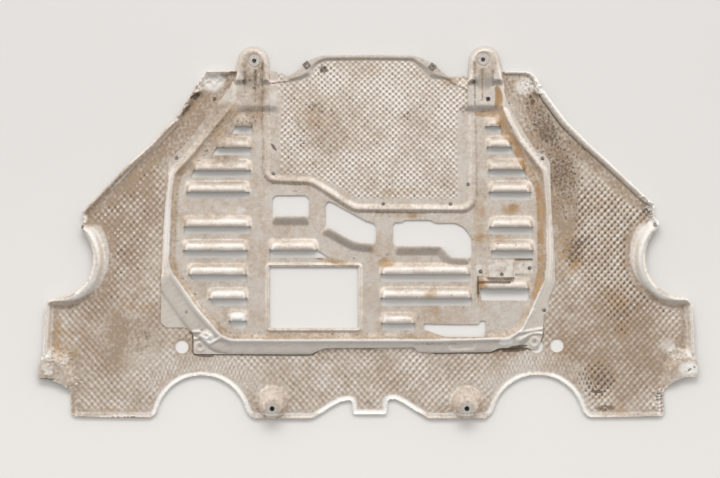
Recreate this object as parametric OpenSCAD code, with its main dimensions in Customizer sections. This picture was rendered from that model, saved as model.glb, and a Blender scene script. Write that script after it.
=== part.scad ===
// Underbody shield of a car, lying on its road side with its upper side up.
// X runs across the car, Y towards the edge with the two mounting tabs, Z up.
// The origin is under the middle of the shield, on the ground.

/* [Sheets] */
// Thickness of the embossed outer sheet and of the upper panel
sheet_t = 1.5; // [1:0.1:2]
// Thickness of the stamped plate
plate_t = 1.5; // [1:0.1:2]
// Play between a fastener's shank and its hole
hole_gap = 0.05; // [0:0.05:0.3]

/* [Outer sheet] */
// Distance from the middle to the end of each wing
wing_x = 563; // [545:1:580]
// Distance from the middle to the long lower edge
low_y = 318; // [312:1:330]
// Radius of the half-round cut-outs in the two sides
side_cut_r = 68; // [60:1:72]
// Height of the raised rim round the side cut-outs
side_rim_h = 15; // [8:1:18]
// Height of the raised rim along the upper slanted edges
edge_rim_h = 11; // [6:1:14]
// Radius of the half-round cut-outs in the long lower edge
low_cut_r = 78; // [70:1:80]
// Height of the small hem round the lower edge
hem_h = 5; // [3:0.5:7]
// Radius of the access holes beside the plate
access_r = 11.5; // [9:0.5:13]

/* [Stand-off cones] */
// Height of the flat tip over the sheet's underside
cone_h = 26; // [18:1:32]
// Radius of the cone's foot
cone_foot_r = 28; // [24:1:30]
// Radius of the flat tip
cone_tip_r = 13; // [10:0.5:14]
// Radius of the screw hole in the tip
cone_hole_r = 4.25; // [3:0.05:5]

/* [Louvred plate] */
// Height of the rim ridge over the plate
ridge_h = 8; // [5:0.5:10]
// Width of the wall from the ridge down to the louvres
ridge_wall = 13; // [9:0.5:14]
// Height of the louvre hoods over the plate
hood_h = 9; // [6:0.5:11]
// Length of a hood from its lip back to the plate
hood_d = 19; // [16:0.5:20]
// Height of the raised frame round the square window
frame_h = 2.5; // [1.5:0.5:4]

/* [Mounting tabs] */
// Radius of a tab's round end
tab_r = 26; // [22:1:28]
// Height of the tab's first step over the plate
tab_step = 5; // [3:0.5:7]
// Height of the tab's face over the plate
tab_h = 11; // [8:0.5:14]
// Radius of the tab's screw hole
tab_hole_r = 3.75; // [3:0.05:4.5]

/* [Upper panel] */
// Height of the panel's raised upper border and ears
ear_h = 4; // [2:0.5:6]

/* [Fasteners] */
// Radius of a rivet's shank
rivet_r = 1.6; // [1.2:0.1:2]
// Radius of a rivet's head
rivet_head_r = 3.4; // [2.8:0.1:4]
// Outer radius of the washers on the tabs and cones
washer_r = 9.5; // [8:0.5:11]
// Thickness of those washers
washer_t = 1.2; // [0.8:0.1:1.6]
// Radius of the plate's two corner screw holes
corner_hole_r = 3.3; // [2.5:0.05:4]

/* [Hidden] */
$fn = 48;

alu = [0.68, 0.64, 0.58];
clean_alu = [0.74, 0.74, 0.72];
steel = [0.45, 0.44, 0.42];

plate_z = sheet_t;
plate_top = plate_z + plate_t;
panel_z = plate_top;
panel_top = panel_z + sheet_t;
far = 60;

// Points of an arc from angle a0 to a1 round c, in n steps
function arc(c, r, a0, a1, n) =
    [for (i = [0:n]) let (a = a0 + (a1 - a0) * i / n) c + r * [cos(a), sin(a)]];
function unit(v) = v / max(norm(v), 0.001);
// Each point of a path with the width and the height of the rim there
function rim(points, w, h) = [for (p = points) [p.x, p.y, w, h]];
// The point moved to the left of the path by d, mitred between its two edges
function mitre(a, b, c, d) =
    let (u = unit(b - a), v = unit(c - b), n = [-u.y - v.y, u.x + v.x])
    b + n * 2 * d / max(n * n, 1.6);
// An open path moved to its left by k times each point's own width
function moved(rows, k) = [
    for (i = [0:len(rows) - 1])
        let (
            b = [rows[i].x, rows[i].y],
            a = i == 0 ? 2 * b - [rows[1].x, rows[1].y] : [rows[i - 1].x, rows[i - 1].y],
            c = i == len(rows) - 1 ? 2 * b - a : [rows[i + 1].x, rows[i + 1].y]
        ) mitre(a, b, c, k * rows[i][2])
];
// A path with its two ends drawn in by d, so that what is cut along it ends short of the strip
function drawn_in(rows, d) =
    let (n = len(rows) - 1)
    [for (i = [0:n])
        let (j = i == 0 ? 1 : n - 1, v = unit([rows[j].x - rows[i].x, rows[j].y - rows[i].y]) * d)
        i > 0 && i < n ? rows[i]
            : concat([rows[i].x + v.x, rows[i].y + v.y], [for (k = [2:1:len(rows[i]) - 1]) rows[i][k]])];
function backwards(list) = [for (i = [len(list) - 1:-1:0]) list[i]];
// The path at one level: moved by k, at q times each point's own height over z
function level(rows, k, z, q) =
    let (m = moved(rows, k))
    [for (i = [0:len(rows) - 1]) [m[i].x, m[i].y, z + q * rows[i][3]]];

// A formed strip of sheet of thickness t between levels, given from the left-hand
// path's outer side inwards; each level is a list of points on the upper face
module formed(levels, t, closed = false) {
    m = len(levels);
    n = len(levels[0]);
    top = [for (l = levels) each l];
    low = [for (p = top) p - [0, 0, t]];
    s = m * n;
    last = closed ? n - 1 : n - 2;
    upper = [for (i = [0:m - 2], j = [0:last]) let (k = (j + 1) % n)
        each [[i * n + j, (i + 1) * n + j, (i + 1) * n + k], [i * n + j, (i + 1) * n + k, i * n + k]]];
    under = [for (f = upper) [f[2] + s, f[1] + s, f[0] + s]];
    outer_wall = [for (j = [0:last]) let (k = (j + 1) % n)
        each [[j, k, k + s], [j, k + s, j + s]]];
    b = (m - 1) * n;
    inner_wall = [for (j = [0:last]) let (k = (j + 1) % n)
        each [[b + k, b + j, b + j + s], [b + k, b + j + s, b + k + s]]];
    ends = closed ? [] : [for (i = [0:m - 2]) let (p = i * n, q = p + n - 1)
        each [[p, p + s, p + n + s], [p, p + n + s, p + n], [q, q + n, q + n + s], [q, q + n + s, q + s]]];
    polyhedron(concat(top, low), concat(upper, under, outer_wall, inner_wall, ends), convexity = 8);
}

// A flat area cut from sheet, from z up
module flat(points, z, t) translate([0, 0, z]) linear_extrude(t) polygon(points);
module drilled(places, r) for (p = places) translate([p.x, p.y, -far]) cylinder(r = r, h = 2 * far);

// Outer sheet

side_cut_left = [-wing_x + 27, -45];
side_cut_right = [wing_x - 23, -43];
low_cut_left = [-284, -low_y - 4];
low_cut_right = [290, -low_y - 3];
// Places of the stand-off cones, with how far their tips are set off towards the lower edge
cones = [[-163, -low_y + 29, -10], [168, -low_y + 29, -10]];
access_holes = [[-318, -195], [323, -193], [288, -194]];

// The sheet's outer edge, from the upper left corner round the bottom to the upper right one
outer_edge = concat(
    rim([[-240, 275], [-277, 276], [-286, 262], [-302, 235]], 7, edge_rim_h),
    rim([[-328, 196], [-369, 153], [-410, 116]], 12, edge_rim_h),
    rim([[-463, 61], [-490, 33]], 8, edge_rim_h - 2),
    rim([[-483, 22]], 5, hem_h),
    rim([[-490, 8]], 12, side_rim_h),
    rim(arc(side_cut_left, side_cut_r, 38, -72, 12), 20, side_rim_h),
    rim([[-wing_x + 22, -113]], 14, side_rim_h),
    rim([[-wing_x + 14, -120], [-wing_x + 11, -163], [-wing_x + 8, -207]], 12, edge_rim_h),
    rim([[-wing_x + 1, -228]], 6, hem_h),
    rim([[-wing_x, -249], [-wing_x + 21, -251], [-wing_x + 40, -258], [-wing_x + 55, -270]], 3, hem_h),
    rim([[-wing_x + 57, -low_y + 7], [-wing_x + 66, -low_y + 4], [-371, -low_y + 2]], 3, hem_h),
    rim([[-361, -low_y + 10]], 4, hem_h),
    rim(arc(low_cut_left, low_cut_r, 164, 13, 16), 5, hem_h),
    rim([[-203, -low_y + 7], [-194, -low_y], [-96, -low_y], [-82, -low_y + 8]], 4, hem_h),
    rim([[-62, -low_y + 21], [-45, -low_y + 30]], 4, hem_h),
    rim([[-28, -low_y + 32], [-26, -low_y + 8], [32, -low_y + 8], [34, -low_y + 33]], 3, hem_h),
    rim([[46, -low_y + 34], [65, -low_y + 24]], 4, hem_h),
    rim([[87, -low_y + 10], [103, -low_y], [199, -low_y], [209, -low_y + 7]], 4, hem_h),
    rim(arc(low_cut_right, low_cut_r, 167, 14, 16), 5, hem_h),
    rim([[369, -low_y + 10]], 4, hem_h),
    rim([[377, -low_y + 3], [wing_x - 62, -low_y + 4], [wing_x - 57, -low_y + 10]], 3, hem_h),
    rim([[wing_x - 59, -269], [wing_x - 40, -253], [wing_x - 21, -246], [wing_x, -246]], 3, hem_h),
    rim([[wing_x - 1, -224]], 6, hem_h),
    rim([[wing_x - 6, -208], [wing_x - 7, -161], [wing_x - 11, -120]], 11, edge_rim_h),
    rim([[wing_x - 19, -111]], 14, side_rim_h),
    rim(arc(side_cut_right, side_cut_r, -104, -222, 12), 20, side_rim_h),
    rim([[498, 16]], 9, side_rim_h),
    rim([[488, 26], [490, 47]], 5, hem_h),
    rim([[478, 58], [448, 86], [413, 119]], 12, edge_rim_h),
    rim([[373, 156], [338, 191], [306, 234]], 14, edge_rim_h),
    rim([[284, 270]], 9, edge_rim_h - 3),
    rim([[273, 275], [236, 275]], 6, hem_h)
);
// Section of the rim: share of its width inwards from the edge, and share of its height
rim_section = [[0, 0.82], [0.25, 1], [0.5, 0.84], [1, 0]];
// Share of a formed strip's width at which the flat sheet beside it starts, so that they lap
lap = 0.93;

// Raised bead along the middle tab: its middle line's ends, its half width, and its section
bead_ends = [[1.5, -low_y + 31.5], [1.5, -low_y + 46.5]];
bead_r = 7.5;
bead_h = 3;
bead_section = [[1, 0], [0.73, 0.7], [0.47, 1], [0.13, 1]];
function bead_ring(k, q) = [for (p = concat(arc(bead_ends[1], k * bead_r, 0, 180, 8),
    arc(bead_ends[0], k * bead_r, 180, 360, 8))) [p.x, p.y, sheet_t + q * bead_h]];
module bead() formed([for (s = bead_section) bead_ring(s[0], s[1])], sheet_t, closed = true);
// The edge of the big opening behind the plate, from the upper right to the upper left
opening_edge = backwards([
    [-212, 275], [-226, 240], [-300, 138], [-318, 118], [-327, 56], [-330, -64], [-328, -108],
    [-274, -172], [-250, -190], [100, -190], [262, -186], [286, -150], [297, -84], [298, 47],
    [294, 116], [260, 159], [226, 227], [215, 275]
]);

// Section of a stand-off cone from its foot up: share of the tip's offset, share of the way from the
// tip's radius out to the foot's, and share of the height
cone_section = [[0, 1, 0], [0.12, 0.75, 0.16], [0.8, 0.25, 0.86], [1, 0, 1], [1, -0.21, 1]];
// One skewed cone: a foot circle, and a tip circle set off towards the lower edge
module cone_wall(c) {
    n = 32;
    r2 = cone_tip_r + 1;
    formed([for (s = cone_section)
        [for (p = arc([c.x, c.y + s[0] * c[2]], r2 + s[1] * (cone_foot_r - r2), 0, 360 - 360 / n, n - 1))
            [p.x, p.y, sheet_t + s[2] * (cone_h - sheet_t)]]
    ], sheet_t, closed = true);
}

module outer_shield() color(alu) difference() {
    union() {
        formed([for (s = rim_section) level(outer_edge, s[0], sheet_t, s[1])], sheet_t);
        difference() {
            flat(concat(moved(outer_edge, lap), opening_edge), 0, sheet_t);
            drilled(cones, cone_foot_r - 1);
            flat([for (p = bead_ring(lap, 0)) [p.x, p.y]], -far, 2 * far);
        }
        bead();
        for (c = cones) {
            cone_wall(c);
            translate([c.x, c.y + c[2], cone_h - sheet_t]) cylinder(r = cone_tip_r, h = sheet_t);
        }
    }
    for (c = cones) translate([c.x, c.y + c[2], 0]) cylinder(r = cone_hole_r, h = far);
    drilled(access_holes, access_r);
    drilled(corner_screws, corner_hole_r);
    drilled(plate_rivet_places, rivet_r + hole_gap);
}

// Louvred plate

// Rivet places, with the height of the sheet under the head over its flat level
plate_rivet_places = [[-327, 128, 0], [-310, -135, 2.6], [-93, -200, 0], [99, -197, 0], [301, -132, 0],
    [298, 127, 0]];
corner_screws = [[-287, -195], [284, -187]];

plate_edge = [
    [-236, 247], [-315, 148], [-340, 124], [-345, 64], [-350, 3], [-353, -74], [-354, -153],
    [-345, -162], [-311, -162], [-298, -173], [-298, -207], [-102, -208], [-98, -208], [-84, -201],
    [-73, -197], [80, -196], [84, -203], [108, -205], [209, -204], [224, -197], [272, -196],
    [277, -199], [290, -199], [298, -176], [300, -142], [310, -132], [306, -119], [320, -84],
    [319, -41], [313, 47], [311, 121], [301, 134], [290, 135], [250, 198], [236, 229], [229, 253]
];
// The plate's inner edge under the panel, from right to left, which the panel covers
plate_gap = [
    [229, 262], [160, 262], [160, 76], [148, 62], [-18, 62], [-30, 70], [-90, 110],
    [-146, 112], [-156, 122], [-156, 262], [-229, 262]
];

// The ridge's crest, with the width of its outer slope at each point
ridge = [for (p = [
    [-237, 212, 6, 0.35], [-249, 197, 8, 1], [-304, 130, 11, 1], [-333, 100, 8, 1], [-338, 56, 6, 1],
    [-340, 3, 8, 1], [-342, -48, 9, 1], [-336, -70, 13, 1], [-291, -132, 26, 1], [-268, -160, 20, 1],
    [-250, -176, 13, 1], [-233, -183, 9, 1], [123, -184, 9, 1], [240, -181, 9, 1], [264, -166, 11, 1],
    [304, -80, 9, 1], [307, -40, 8, 1], [306, 47, 5, 1], [301, 104, 6, 1], [258, 159, 7, 1],
    [241, 193, 6, 1], [234, 208, 5, 0.35]
]) [p[0], p[1], p[2], p[3] * ridge_h]];
ridge_in = [for (p = ridge) [p[0], p[1], ridge_wall * (0.4 + 0.6 * p[3] / ridge_h), p[3]]];
// Sections of the ridge's outer slope and of its wall down to the louvres
ridge_out_section = [[-1, 0], [-0.84, 0.2], [-0.3, 0.55], [0, 1]];
ridge_in_section = [[0.16, 0.92], [0.62, 0.16], [1, 0]];

// Louvre slots: left end above and below, right end below and above, upper and lower edge
left_slots = [
    [-235, -228, -198, -198, 182, 169], [-269, -262, -200, -200, 146, 132],
    [-298, -304, -201, -201, 107, 94], [-310, -310, -203, -203, 70, 58],
    [-314, -314, -201, -201, 11, -2], [-315, -315, -206, -206, -30, -43],
    [-307, -298, -207, -207, -71, -83], [-272, -264, -207, -207, -112, -125],
    [-238, -231, -208, -208, -150, -164]
];
right_slots = [
    [201, 201, 229, 226, 182, 171], [203, 203, 249, 245, 147, 134], [206, 206, 271, 267, 108, 95],
    [207, 207, 278, 278, 70, 56], [208, 208, 281, 281, 10, -3], [211, 211, 282, 282, -30, -43],
    [192, 192, 275, 275, -95, -116]
];
middle_slots = [
    [-168, -168, -65, -87, -29, -43], [22, 22, 174, 174, -70, -84],
    [22, 22, 177, 177, -111, -125], [23, 23, 80, 80, -154, -167]
];
slots = concat(left_slots, right_slots, middle_slots);

// The side section of a hood over its slot: distance from the lip, and height over the plate
hood_section = [[0, 0.72], [0.1, 0.94], [0.24, 1], [0.45, 0.88], [0.7, 0.5], [1, 0]];

module hood(x0, x1, d = hood_d) {
    top = [for (p = hood_section) [p[0] * d, plate_t + p[1] * hood_h]];
    low = [for (p = backwards(top)) p - [0, plate_t]];
    module across(points, x, w)
        translate([x, 0, plate_z]) rotate([90, 0, 90]) linear_extrude(w) polygon(points);
    across(concat(top, low), x0 - plate_t, x1 - x0 + 2 * plate_t);
    for (x = [x0 - plate_t, x1])
        across(concat(top, [[d, 0], [0, 0]]), x, plate_t);
}
module slot_hole(s) {
    flat([[s[0], s[4] + 0.1], [s[1], s[5]], [s[2], s[5]], [s[3], s[4] + 0.1]], -far, 2 * far);
    hood_hole(s[0], s[3], s[4], hood_d);
}
module hood_hole(x0, x1, y, d) flat([[x0, y], [x1, y], [x1, y + d - 1], [x0, y + d - 1]], -far, 2 * far);

// Windows with a scoop along their lower edge, given from right to left so that it falls outwards
window_left = [[-164, 58], [-158, 64], [-106, 64], [-100, 58], [-100, 28], [-164, 28]];
scoop_left = [[-100, 28], [-164, 28]];
window_middle = [[-73, 47], [-69, 54], [-63, 53], [-3, 20], [9, 17], [14, 12], [14, -14], [11, -19],
    [-21, -16], [-66, 8], [-73, 12]];
scoop_middle = [[11, -19], [-21, -16], [-66, 8], [-73, 12]];
window_right = [[42, 14], [47, 18], [58, 18], [63, 22], [107, 22], [115, 17], [148, 17], [162, 11],
    [172, 0], [177, -10], [178, -38], [173, -43], [144, -43], [138, -38], [124, -23], [47, -23], [42, -18]];
scoop_right = [[173, -43], [144, -43], [138, -38], [124, -23], [47, -23]];
scoop_d = 16;

scoop_h = hood_h - 2;
scoop_section = [[0, 0.8], [0.15, 1], [0.45, 0.85], [1, 0]];

module scoop(edge) formed([for (s = scoop_section) level(rim(edge, scoop_d, scoop_h), s[0], plate_top, s[1])],
    plate_t);
module scoop_hole(edge)
    flat(let (e = drawn_in(edge, 1)) concat([for (p = e) p + [0, 0.5]],
        backwards(moved(rim(e, scoop_d, 0), lap))), -far, 2 * far);

// Square window with its raised frame
frame_box = [[-175, -170], [-10, -52]];
// Section of the frame inwards: distance from its foot, corner radius, share of its height
frame_section = [[0, 6, 0], [2.4, 5, 1], [4.2, 4, 1], [6.6, 3, 0.16]];
function box_ring(e, r, z) =
    let (a = frame_box[0] + [e + r, e + r], b = frame_box[1] - [e + r, e + r])
    [for (p = concat(arc([a.x, a.y], r, 180, 270, 4), arc([b.x, a.y], r, 270, 360, 4),
            arc([b.x, b.y], r, 0, 90, 4), arc([a.x, b.y], r, 90, 180, 4))) [p.x, p.y, z]];
module framed_window_wall() formed([for (s = frame_section) box_ring(s[0], s[1], plate_top + s[2] * frame_h)],
    plate_t, closed = true);
module frame_hole() {
    a = frame_box[0] + [1, 1];
    b = frame_box[1] - [1, 1];
    flat([a, [b.x, a.y], b, [a.x, b.y]], -far, 2 * far);
}
patch_cut = [[96, -155], [95, -165], [116, -173], [132, -178], [201, -178], [201, -150], [191, -150],
    [190, -156], [128, -156]];

// Mounting tabs: each is a raised tongue with a round end, two steps and sloped flanges, wider on its
// outer side; a place is the round end's middle, with which side is the outer one
tab_left = [-196, 291, -1];
tab_right = [199, 292, 1];
tab_holes = [[-194, 293], [196, 295]];
tab_foot_y = 200;
tab_waist_y = 270;
tab_end_y = 330;
tab_flare = 4;
tab_flange_w = 8;
// Side section of a tongue: place along Y, and height of its face over the plate
tab_side = [[tab_foot_y + 4, 0], [tab_foot_y + 12, tab_step], [251, tab_step], [262, tab_h]];
// Section of a flange inwards: share of its width, and share of the face's height
tab_flange_section = [[0, 0.1], [0.35, 0.6], [0.7, 0.93], [1, 1]];
// Round pocket that a washer lies in
pocket_r = 12.5;
pocket_d = 1.2;
// Pressed grooves in the tongues: place along X, lower end and upper end
tab_grooves = [[-210, 239, 273], [-192, 222, 275], [-180, 216, 288], [182, 216, 288], [195, 226, 276],
    [213, 250, 275]];
groove_w = 2.6;
groove_d = 0.7;
tab_small_holes = [[-202, 260, 1.4], [205, 228, 3.2]];

// A tongue's edge from the foot's right end round to its left end, with the face's height at each point
function tab_edge(c) =
    let (
        right = c.x + tab_r + tab_flare * (c[2] > 0 ? 2 : 1),
        left = c.x - tab_r - tab_flare * (c[2] < 0 ? 2 : 1)
    )
    concat(
        [for (p = tab_side) [right, p.x, tab_flange_w, p.y]],
        [[right - tab_flare / 2, tab_waist_y, tab_flange_w, tab_h]],
        rim(arc([c.x, c.y], tab_r, 8, 172, 12), tab_flange_w, tab_h),
        [[left + tab_flare / 2, tab_waist_y, tab_flange_w, tab_h]],
        [for (p = backwards(tab_side)) [left, p.x, tab_flange_w, p.y]]
    );
module tab_slice(points) translate([-far * 6, 0, plate_z]) rotate([90, 0, 90])
    linear_extrude(far * 12) polygon(points);
// The tongues' faces as seen from the side: a line at lift over their underside
function tab_line(lift) = concat([for (p = tab_side) p + [0, lift]], [[tab_end_y, tab_h + lift]]);
module tongue(c) {
    edge = tab_edge(c);
    formed([for (s = tab_flange_section) level(edge, s[0], plate_top, s[1])], plate_t);
    intersection() {
        flat(moved(edge, lap), -far, 2 * far);
        tab_slice(concat(tab_line(plate_t), backwards(tab_line(0))));
    }
}
module groove_cuts() intersection() {
    for (g = tab_grooves) translate([g[0] - groove_w / 2, g[1], -far]) cube([groove_w, g[2] - g[1], 2 * far]);
    tab_slice(concat(tab_line(plate_t - groove_d), [[tab_end_y, far], [tab_foot_y, far]]));
}

module louvre_plate() color(clean_alu) difference() {
    union() {
        difference() {
            flat(concat(plate_edge, plate_gap), plate_z, plate_t);
            flat(concat(moved(drawn_in(ridge, 2), -lap), backwards(moved(drawn_in(ridge_in, 2), lap))),
                -far, 2 * far);
            for (s = slots) slot_hole(s);
            for (w = [window_left, window_middle, window_right]) flat(w, -far, 2 * far);
            for (e = [scoop_left, scoop_middle, scoop_right]) scoop_hole(e);
            frame_hole();
            for (c = [tab_left, tab_right]) flat(moved(tab_edge(c), lap), -far, 2 * far);
        }
        formed(concat([for (s = ridge_out_section) level(ridge, s[0], plate_top, s[1])],
            [for (s = ridge_in_section) level(ridge_in, s[0], plate_top, s[1])]), plate_t);
        for (s = slots) translate([0, s[4], 0]) hood(s[0], s[3]);
        for (e = [scoop_left, scoop_middle, scoop_right]) scoop(e);
        framed_window_wall();
        difference() {
            union() {
                tongue(tab_left);
                tongue(tab_right);
            }
            for (p = tab_holes) translate([p.x, p.y, 0]) cylinder(r = pocket_r, h = far);
            groove_cuts();
        }
        for (p = tab_holes) translate([p.x, p.y, plate_z + tab_h - pocket_d])
            cylinder(r = pocket_r + 1, h = plate_t);
    }
    flat(patch_cut, -far, 2 * far);
    drilled(tab_holes, tab_hole_r);
    for (p = tab_small_holes) drilled([p], p[2]);
    drilled(corner_screws, corner_hole_r);
    drilled(concat(plate_rivet_places, panel_rivet_places, bracket_rivet_places), rivet_r + hole_gap);
}

// Upper panel

border_w = 11;
border_h = 3;
border_section = [[0, 0.3], [0.16, 0.9], [0.3, 1], [1, 0]];
panel_left = -180;
panel_right = 186;
panel_bottom = 34;
// Distance from the panel's edge to a rivet, which stands on the flat beside the raised border
rivet_in = border_w + rivet_head_r + 0.6;
panel_rivet_places = [[26, panel_bottom + rivet_in, 0], [141, panel_bottom + rivet_in, 0],
    [panel_right - rivet_in, 83, 0], [panel_left + rivet_in + 3, 101, 0]];
// The panel's edge from the upper left round the bottom, with its raised border
panel_edge = concat(
    rim([[panel_left, tab_foot_y]], border_w, border_h),
    rim(arc([panel_left + 23, 107], 23, 180, 268, 5), border_w, border_h),
    rim([[-99, 82], [-40, 45], [-24, panel_bottom + 1]], border_w, border_h),
    rim(arc([panel_right - 26, panel_bottom + 26], 26, 270, 360, 5), border_w, border_h),
    rim([[panel_right - 2, tab_foot_y]], border_w, border_h)
);
// Upper border from right to left: its outer edge, and the line of its step
ears_edge = [
    [142, 265], [134, 268], [117, 282], [104, 291], [91, 298], [78, 302], [0, 303], [-78, 302],
    [-93, 297], [-103, 292], [-111, 284], [-124, 274], [-135, 266]
];
ears_step = [
    [140, 258], [132, 262], [117, 262], [105, 264], [95, 276], [76, 294], [0, 295], [-74, 294],
    [-86, 288], [-94, 278], [-98, 268], [-115, 261], [-133, 259]
];
// How far the step's slope runs from its upper line towards the ears' edge, and past its foot
ears_slope = 0.38;
ears_lap = 1.5;
ear_clip_places = [[-104, 285, 40], [109, 282, -38]];
clip_hole_r = 2.6;

// The panel's two upper corners, which stop beside the tongues
tongue_gap = 1;
notch_left = tab_left.x + tab_r + tab_flare + tongue_gap;
notch_right = tab_right.x - tab_r - tab_flare - tongue_gap;
corner_flat_left = [[-144, 266], [-157, 275], [notch_left, 275], [notch_left, tab_foot_y]];
corner_flat_right = [[notch_right, tab_foot_y], [notch_right, 268]];

module upper_panel() color(alu) difference() {
    union() {
        flat(concat(moved(panel_edge, lap), corner_flat_right, ears_step, corner_flat_left),
            panel_z, sheet_t);
        formed([for (s = border_section) level(panel_edge, s[0], panel_top, s[1])], sheet_t);
        formed([
            [for (p = ears_edge) [p.x, p.y, panel_top + ear_h]],
            [for (i = [0:len(ears_step) - 1])
                let (p = ears_step[i] * (1 - ears_slope) + ears_edge[i] * ears_slope)
                [p.x, p.y, panel_top + ear_h]],
            [for (p = ears_step) [p.x, p.y - ears_lap, panel_top]]
        ], sheet_t);
    }
    drilled(panel_rivet_places, rivet_r + hole_gap);
    drilled(ear_clip_places, clip_hole_r);
}

// Bracket: two feet and a raised box, bent from one strip

bracket_t = 1.2;
bracket_hole_r = 3.3;
bracket_rivet_places = [[192, -66, 0], [276, -60, 0]];
bracket_hole = [228, -71];
bracket_side = [[184, 0], [203, 0], [206, 9], [247, 9], [250, 3], [264, 3], [268, 0], [282, 0]];
bracket_plan = [[184, -74], [202, -74], [202, -76], [251, -76], [251, -70], [282, -70], [282, -50],
    [251, -50], [251, -46], [202, -46], [202, -56], [184, -56]];
module bracket() color(clean_alu) difference() {
    intersection() {
        translate([0, 0, plate_top]) rotate([90, 0, 0]) linear_extrude(2 * far)
            polygon(concat([for (p = bracket_side) p + [0, bracket_t]], backwards(bracket_side)));
        flat(bracket_plan, 0, far);
    }
    drilled(bracket_rivet_places, rivet_r + hole_gap);
    drilled([bracket_hole], bracket_hole_r);
}

// Small hardware

// A rivet with a domed head over z, made of a rim and a crown, and a shank that goes down by grip
head_rim_h = 0.7;
head_crown_h = 0.8;
head_slope = 0.5;
module rivet(p, z, grip) translate([p.x, p.y, z + p.z]) {
    translate([0, 0, -grip - p.z]) cylinder(r = rivet_r, h = grip + p.z + head_rim_h / 2);
    cylinder(r1 = rivet_head_r, r2 = rivet_head_r - head_slope, h = head_rim_h);
    translate([0, 0, head_rim_h])
        cylinder(r1 = rivet_head_r - head_slope, r2 = rivet_r, h = head_crown_h);
}
module plate_rivets() color(steel) for (p = plate_rivet_places) rivet(p, plate_top, plate_t + sheet_t);
module panel_rivets() color(steel) for (p = panel_rivet_places) rivet(p, panel_top, sheet_t + plate_t);
module bracket_rivets() color(steel)
    for (p = bracket_rivet_places) rivet(p, plate_top + bracket_t, bracket_t + plate_t);

module washer(p, z, hole) translate([p.x, p.y, z]) difference() {
    cylinder(r = washer_r, h = washer_t);
    translate([0, 0, -1]) cylinder(r = hole, h = washer_t + 2);
}
module tab_washers() color(clean_alu)
    for (p = tab_holes) washer(p, plate_top + tab_h - pocket_d, tab_hole_r);
module cone_washers() color(clean_alu)
    for (c = cones) washer([c.x, c.y + c[2]], cone_h, cone_hole_r);

// A clip nut slid over the edge of an ear: two leaves and a back, with a square nut on top
clip_w = 11;
clip_front = 4.4;
clip_back = 6.8;
clip_l = clip_front + clip_back;
clip_t = 0.8;
clip_nut = [7.6, 7.6, 3];
module ear_clip(p) translate([p.x, p.y, panel_z + ear_h]) rotate(p[2]) difference() {
    union() {
        translate([-clip_w / 2, -clip_front, -clip_t]) cube([clip_w, clip_l, clip_t]);
        translate([-clip_w / 2, -clip_front, sheet_t]) cube([clip_w, clip_l, clip_t]);
        translate([-clip_w / 2, clip_back - clip_t, -clip_t])
            cube([clip_w, clip_t, sheet_t + 2 * clip_t]);
        translate([-clip_nut.x / 2, -clip_nut.y / 2, sheet_t]) cube(clip_nut);
    }
    drilled([[0, 0]], clip_hole_r);
}
module ear_clips() color(steel) for (p = ear_clip_places) ear_clip(p);

outer_shield();
louvre_plate();
upper_panel();
bracket();
plate_rivets();
panel_rivets();
bracket_rivets();
ear_clips();
tab_washers();
cone_washers();
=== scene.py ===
"""Underbody shield: its formed sheets, fasteners and stage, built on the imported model.

Lengths in the lists are millimetres in the model's own frame: X across the car, Y towards the edge
with the two mounting tabs, Z up. A formed sheet is a height over (x, y), worked out for whole arrays
of points at once, with its cut edges and underside closed below it.
"""

import bpy
import numpy as np
from bpy.props import FloatProperty, FloatVectorProperty, PointerProperty
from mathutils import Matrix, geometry


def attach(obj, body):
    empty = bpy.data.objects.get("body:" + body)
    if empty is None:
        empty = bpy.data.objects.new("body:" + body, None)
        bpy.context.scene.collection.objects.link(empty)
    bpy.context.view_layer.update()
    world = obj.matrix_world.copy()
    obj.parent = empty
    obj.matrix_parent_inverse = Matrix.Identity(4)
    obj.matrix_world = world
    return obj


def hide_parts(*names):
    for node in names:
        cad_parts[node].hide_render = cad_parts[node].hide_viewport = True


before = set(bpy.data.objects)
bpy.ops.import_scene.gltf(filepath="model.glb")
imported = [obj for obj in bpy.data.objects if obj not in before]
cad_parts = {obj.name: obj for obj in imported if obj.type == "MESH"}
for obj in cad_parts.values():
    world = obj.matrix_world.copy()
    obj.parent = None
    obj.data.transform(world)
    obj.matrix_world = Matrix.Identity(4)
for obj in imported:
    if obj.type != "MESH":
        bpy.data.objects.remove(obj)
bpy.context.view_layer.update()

bl_info = {
    "name": "Underbody shield",
    "version": (1, 0, 0),
    "blender": (4, 5, 0),
    "location": "3D View > Sidebar > Shield",
    "description": "Dresses the packed model of an underbody shield with its formed sheets",
    "category": "Add Mesh",
}

MM = 0.001
FAR = 1e6
SHEET_T = 1.5
PLATE_TOP = 3.0
PANEL_TOP = 4.5


# Paths and sections, as in the part's source


def rows(points, width, height):
    """The points of a path, each with the width and the height of the rim there."""
    return [(x, y, width, height) for x, y in points]


def arc(x, y, r, start, end, steps):
    """Points on an arc round (x, y) from one angle to another, in degrees."""
    a = np.radians(np.linspace(start, end, steps + 1))
    return np.column_stack([x + r * np.cos(a), y + r * np.sin(a)]).tolist()


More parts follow.
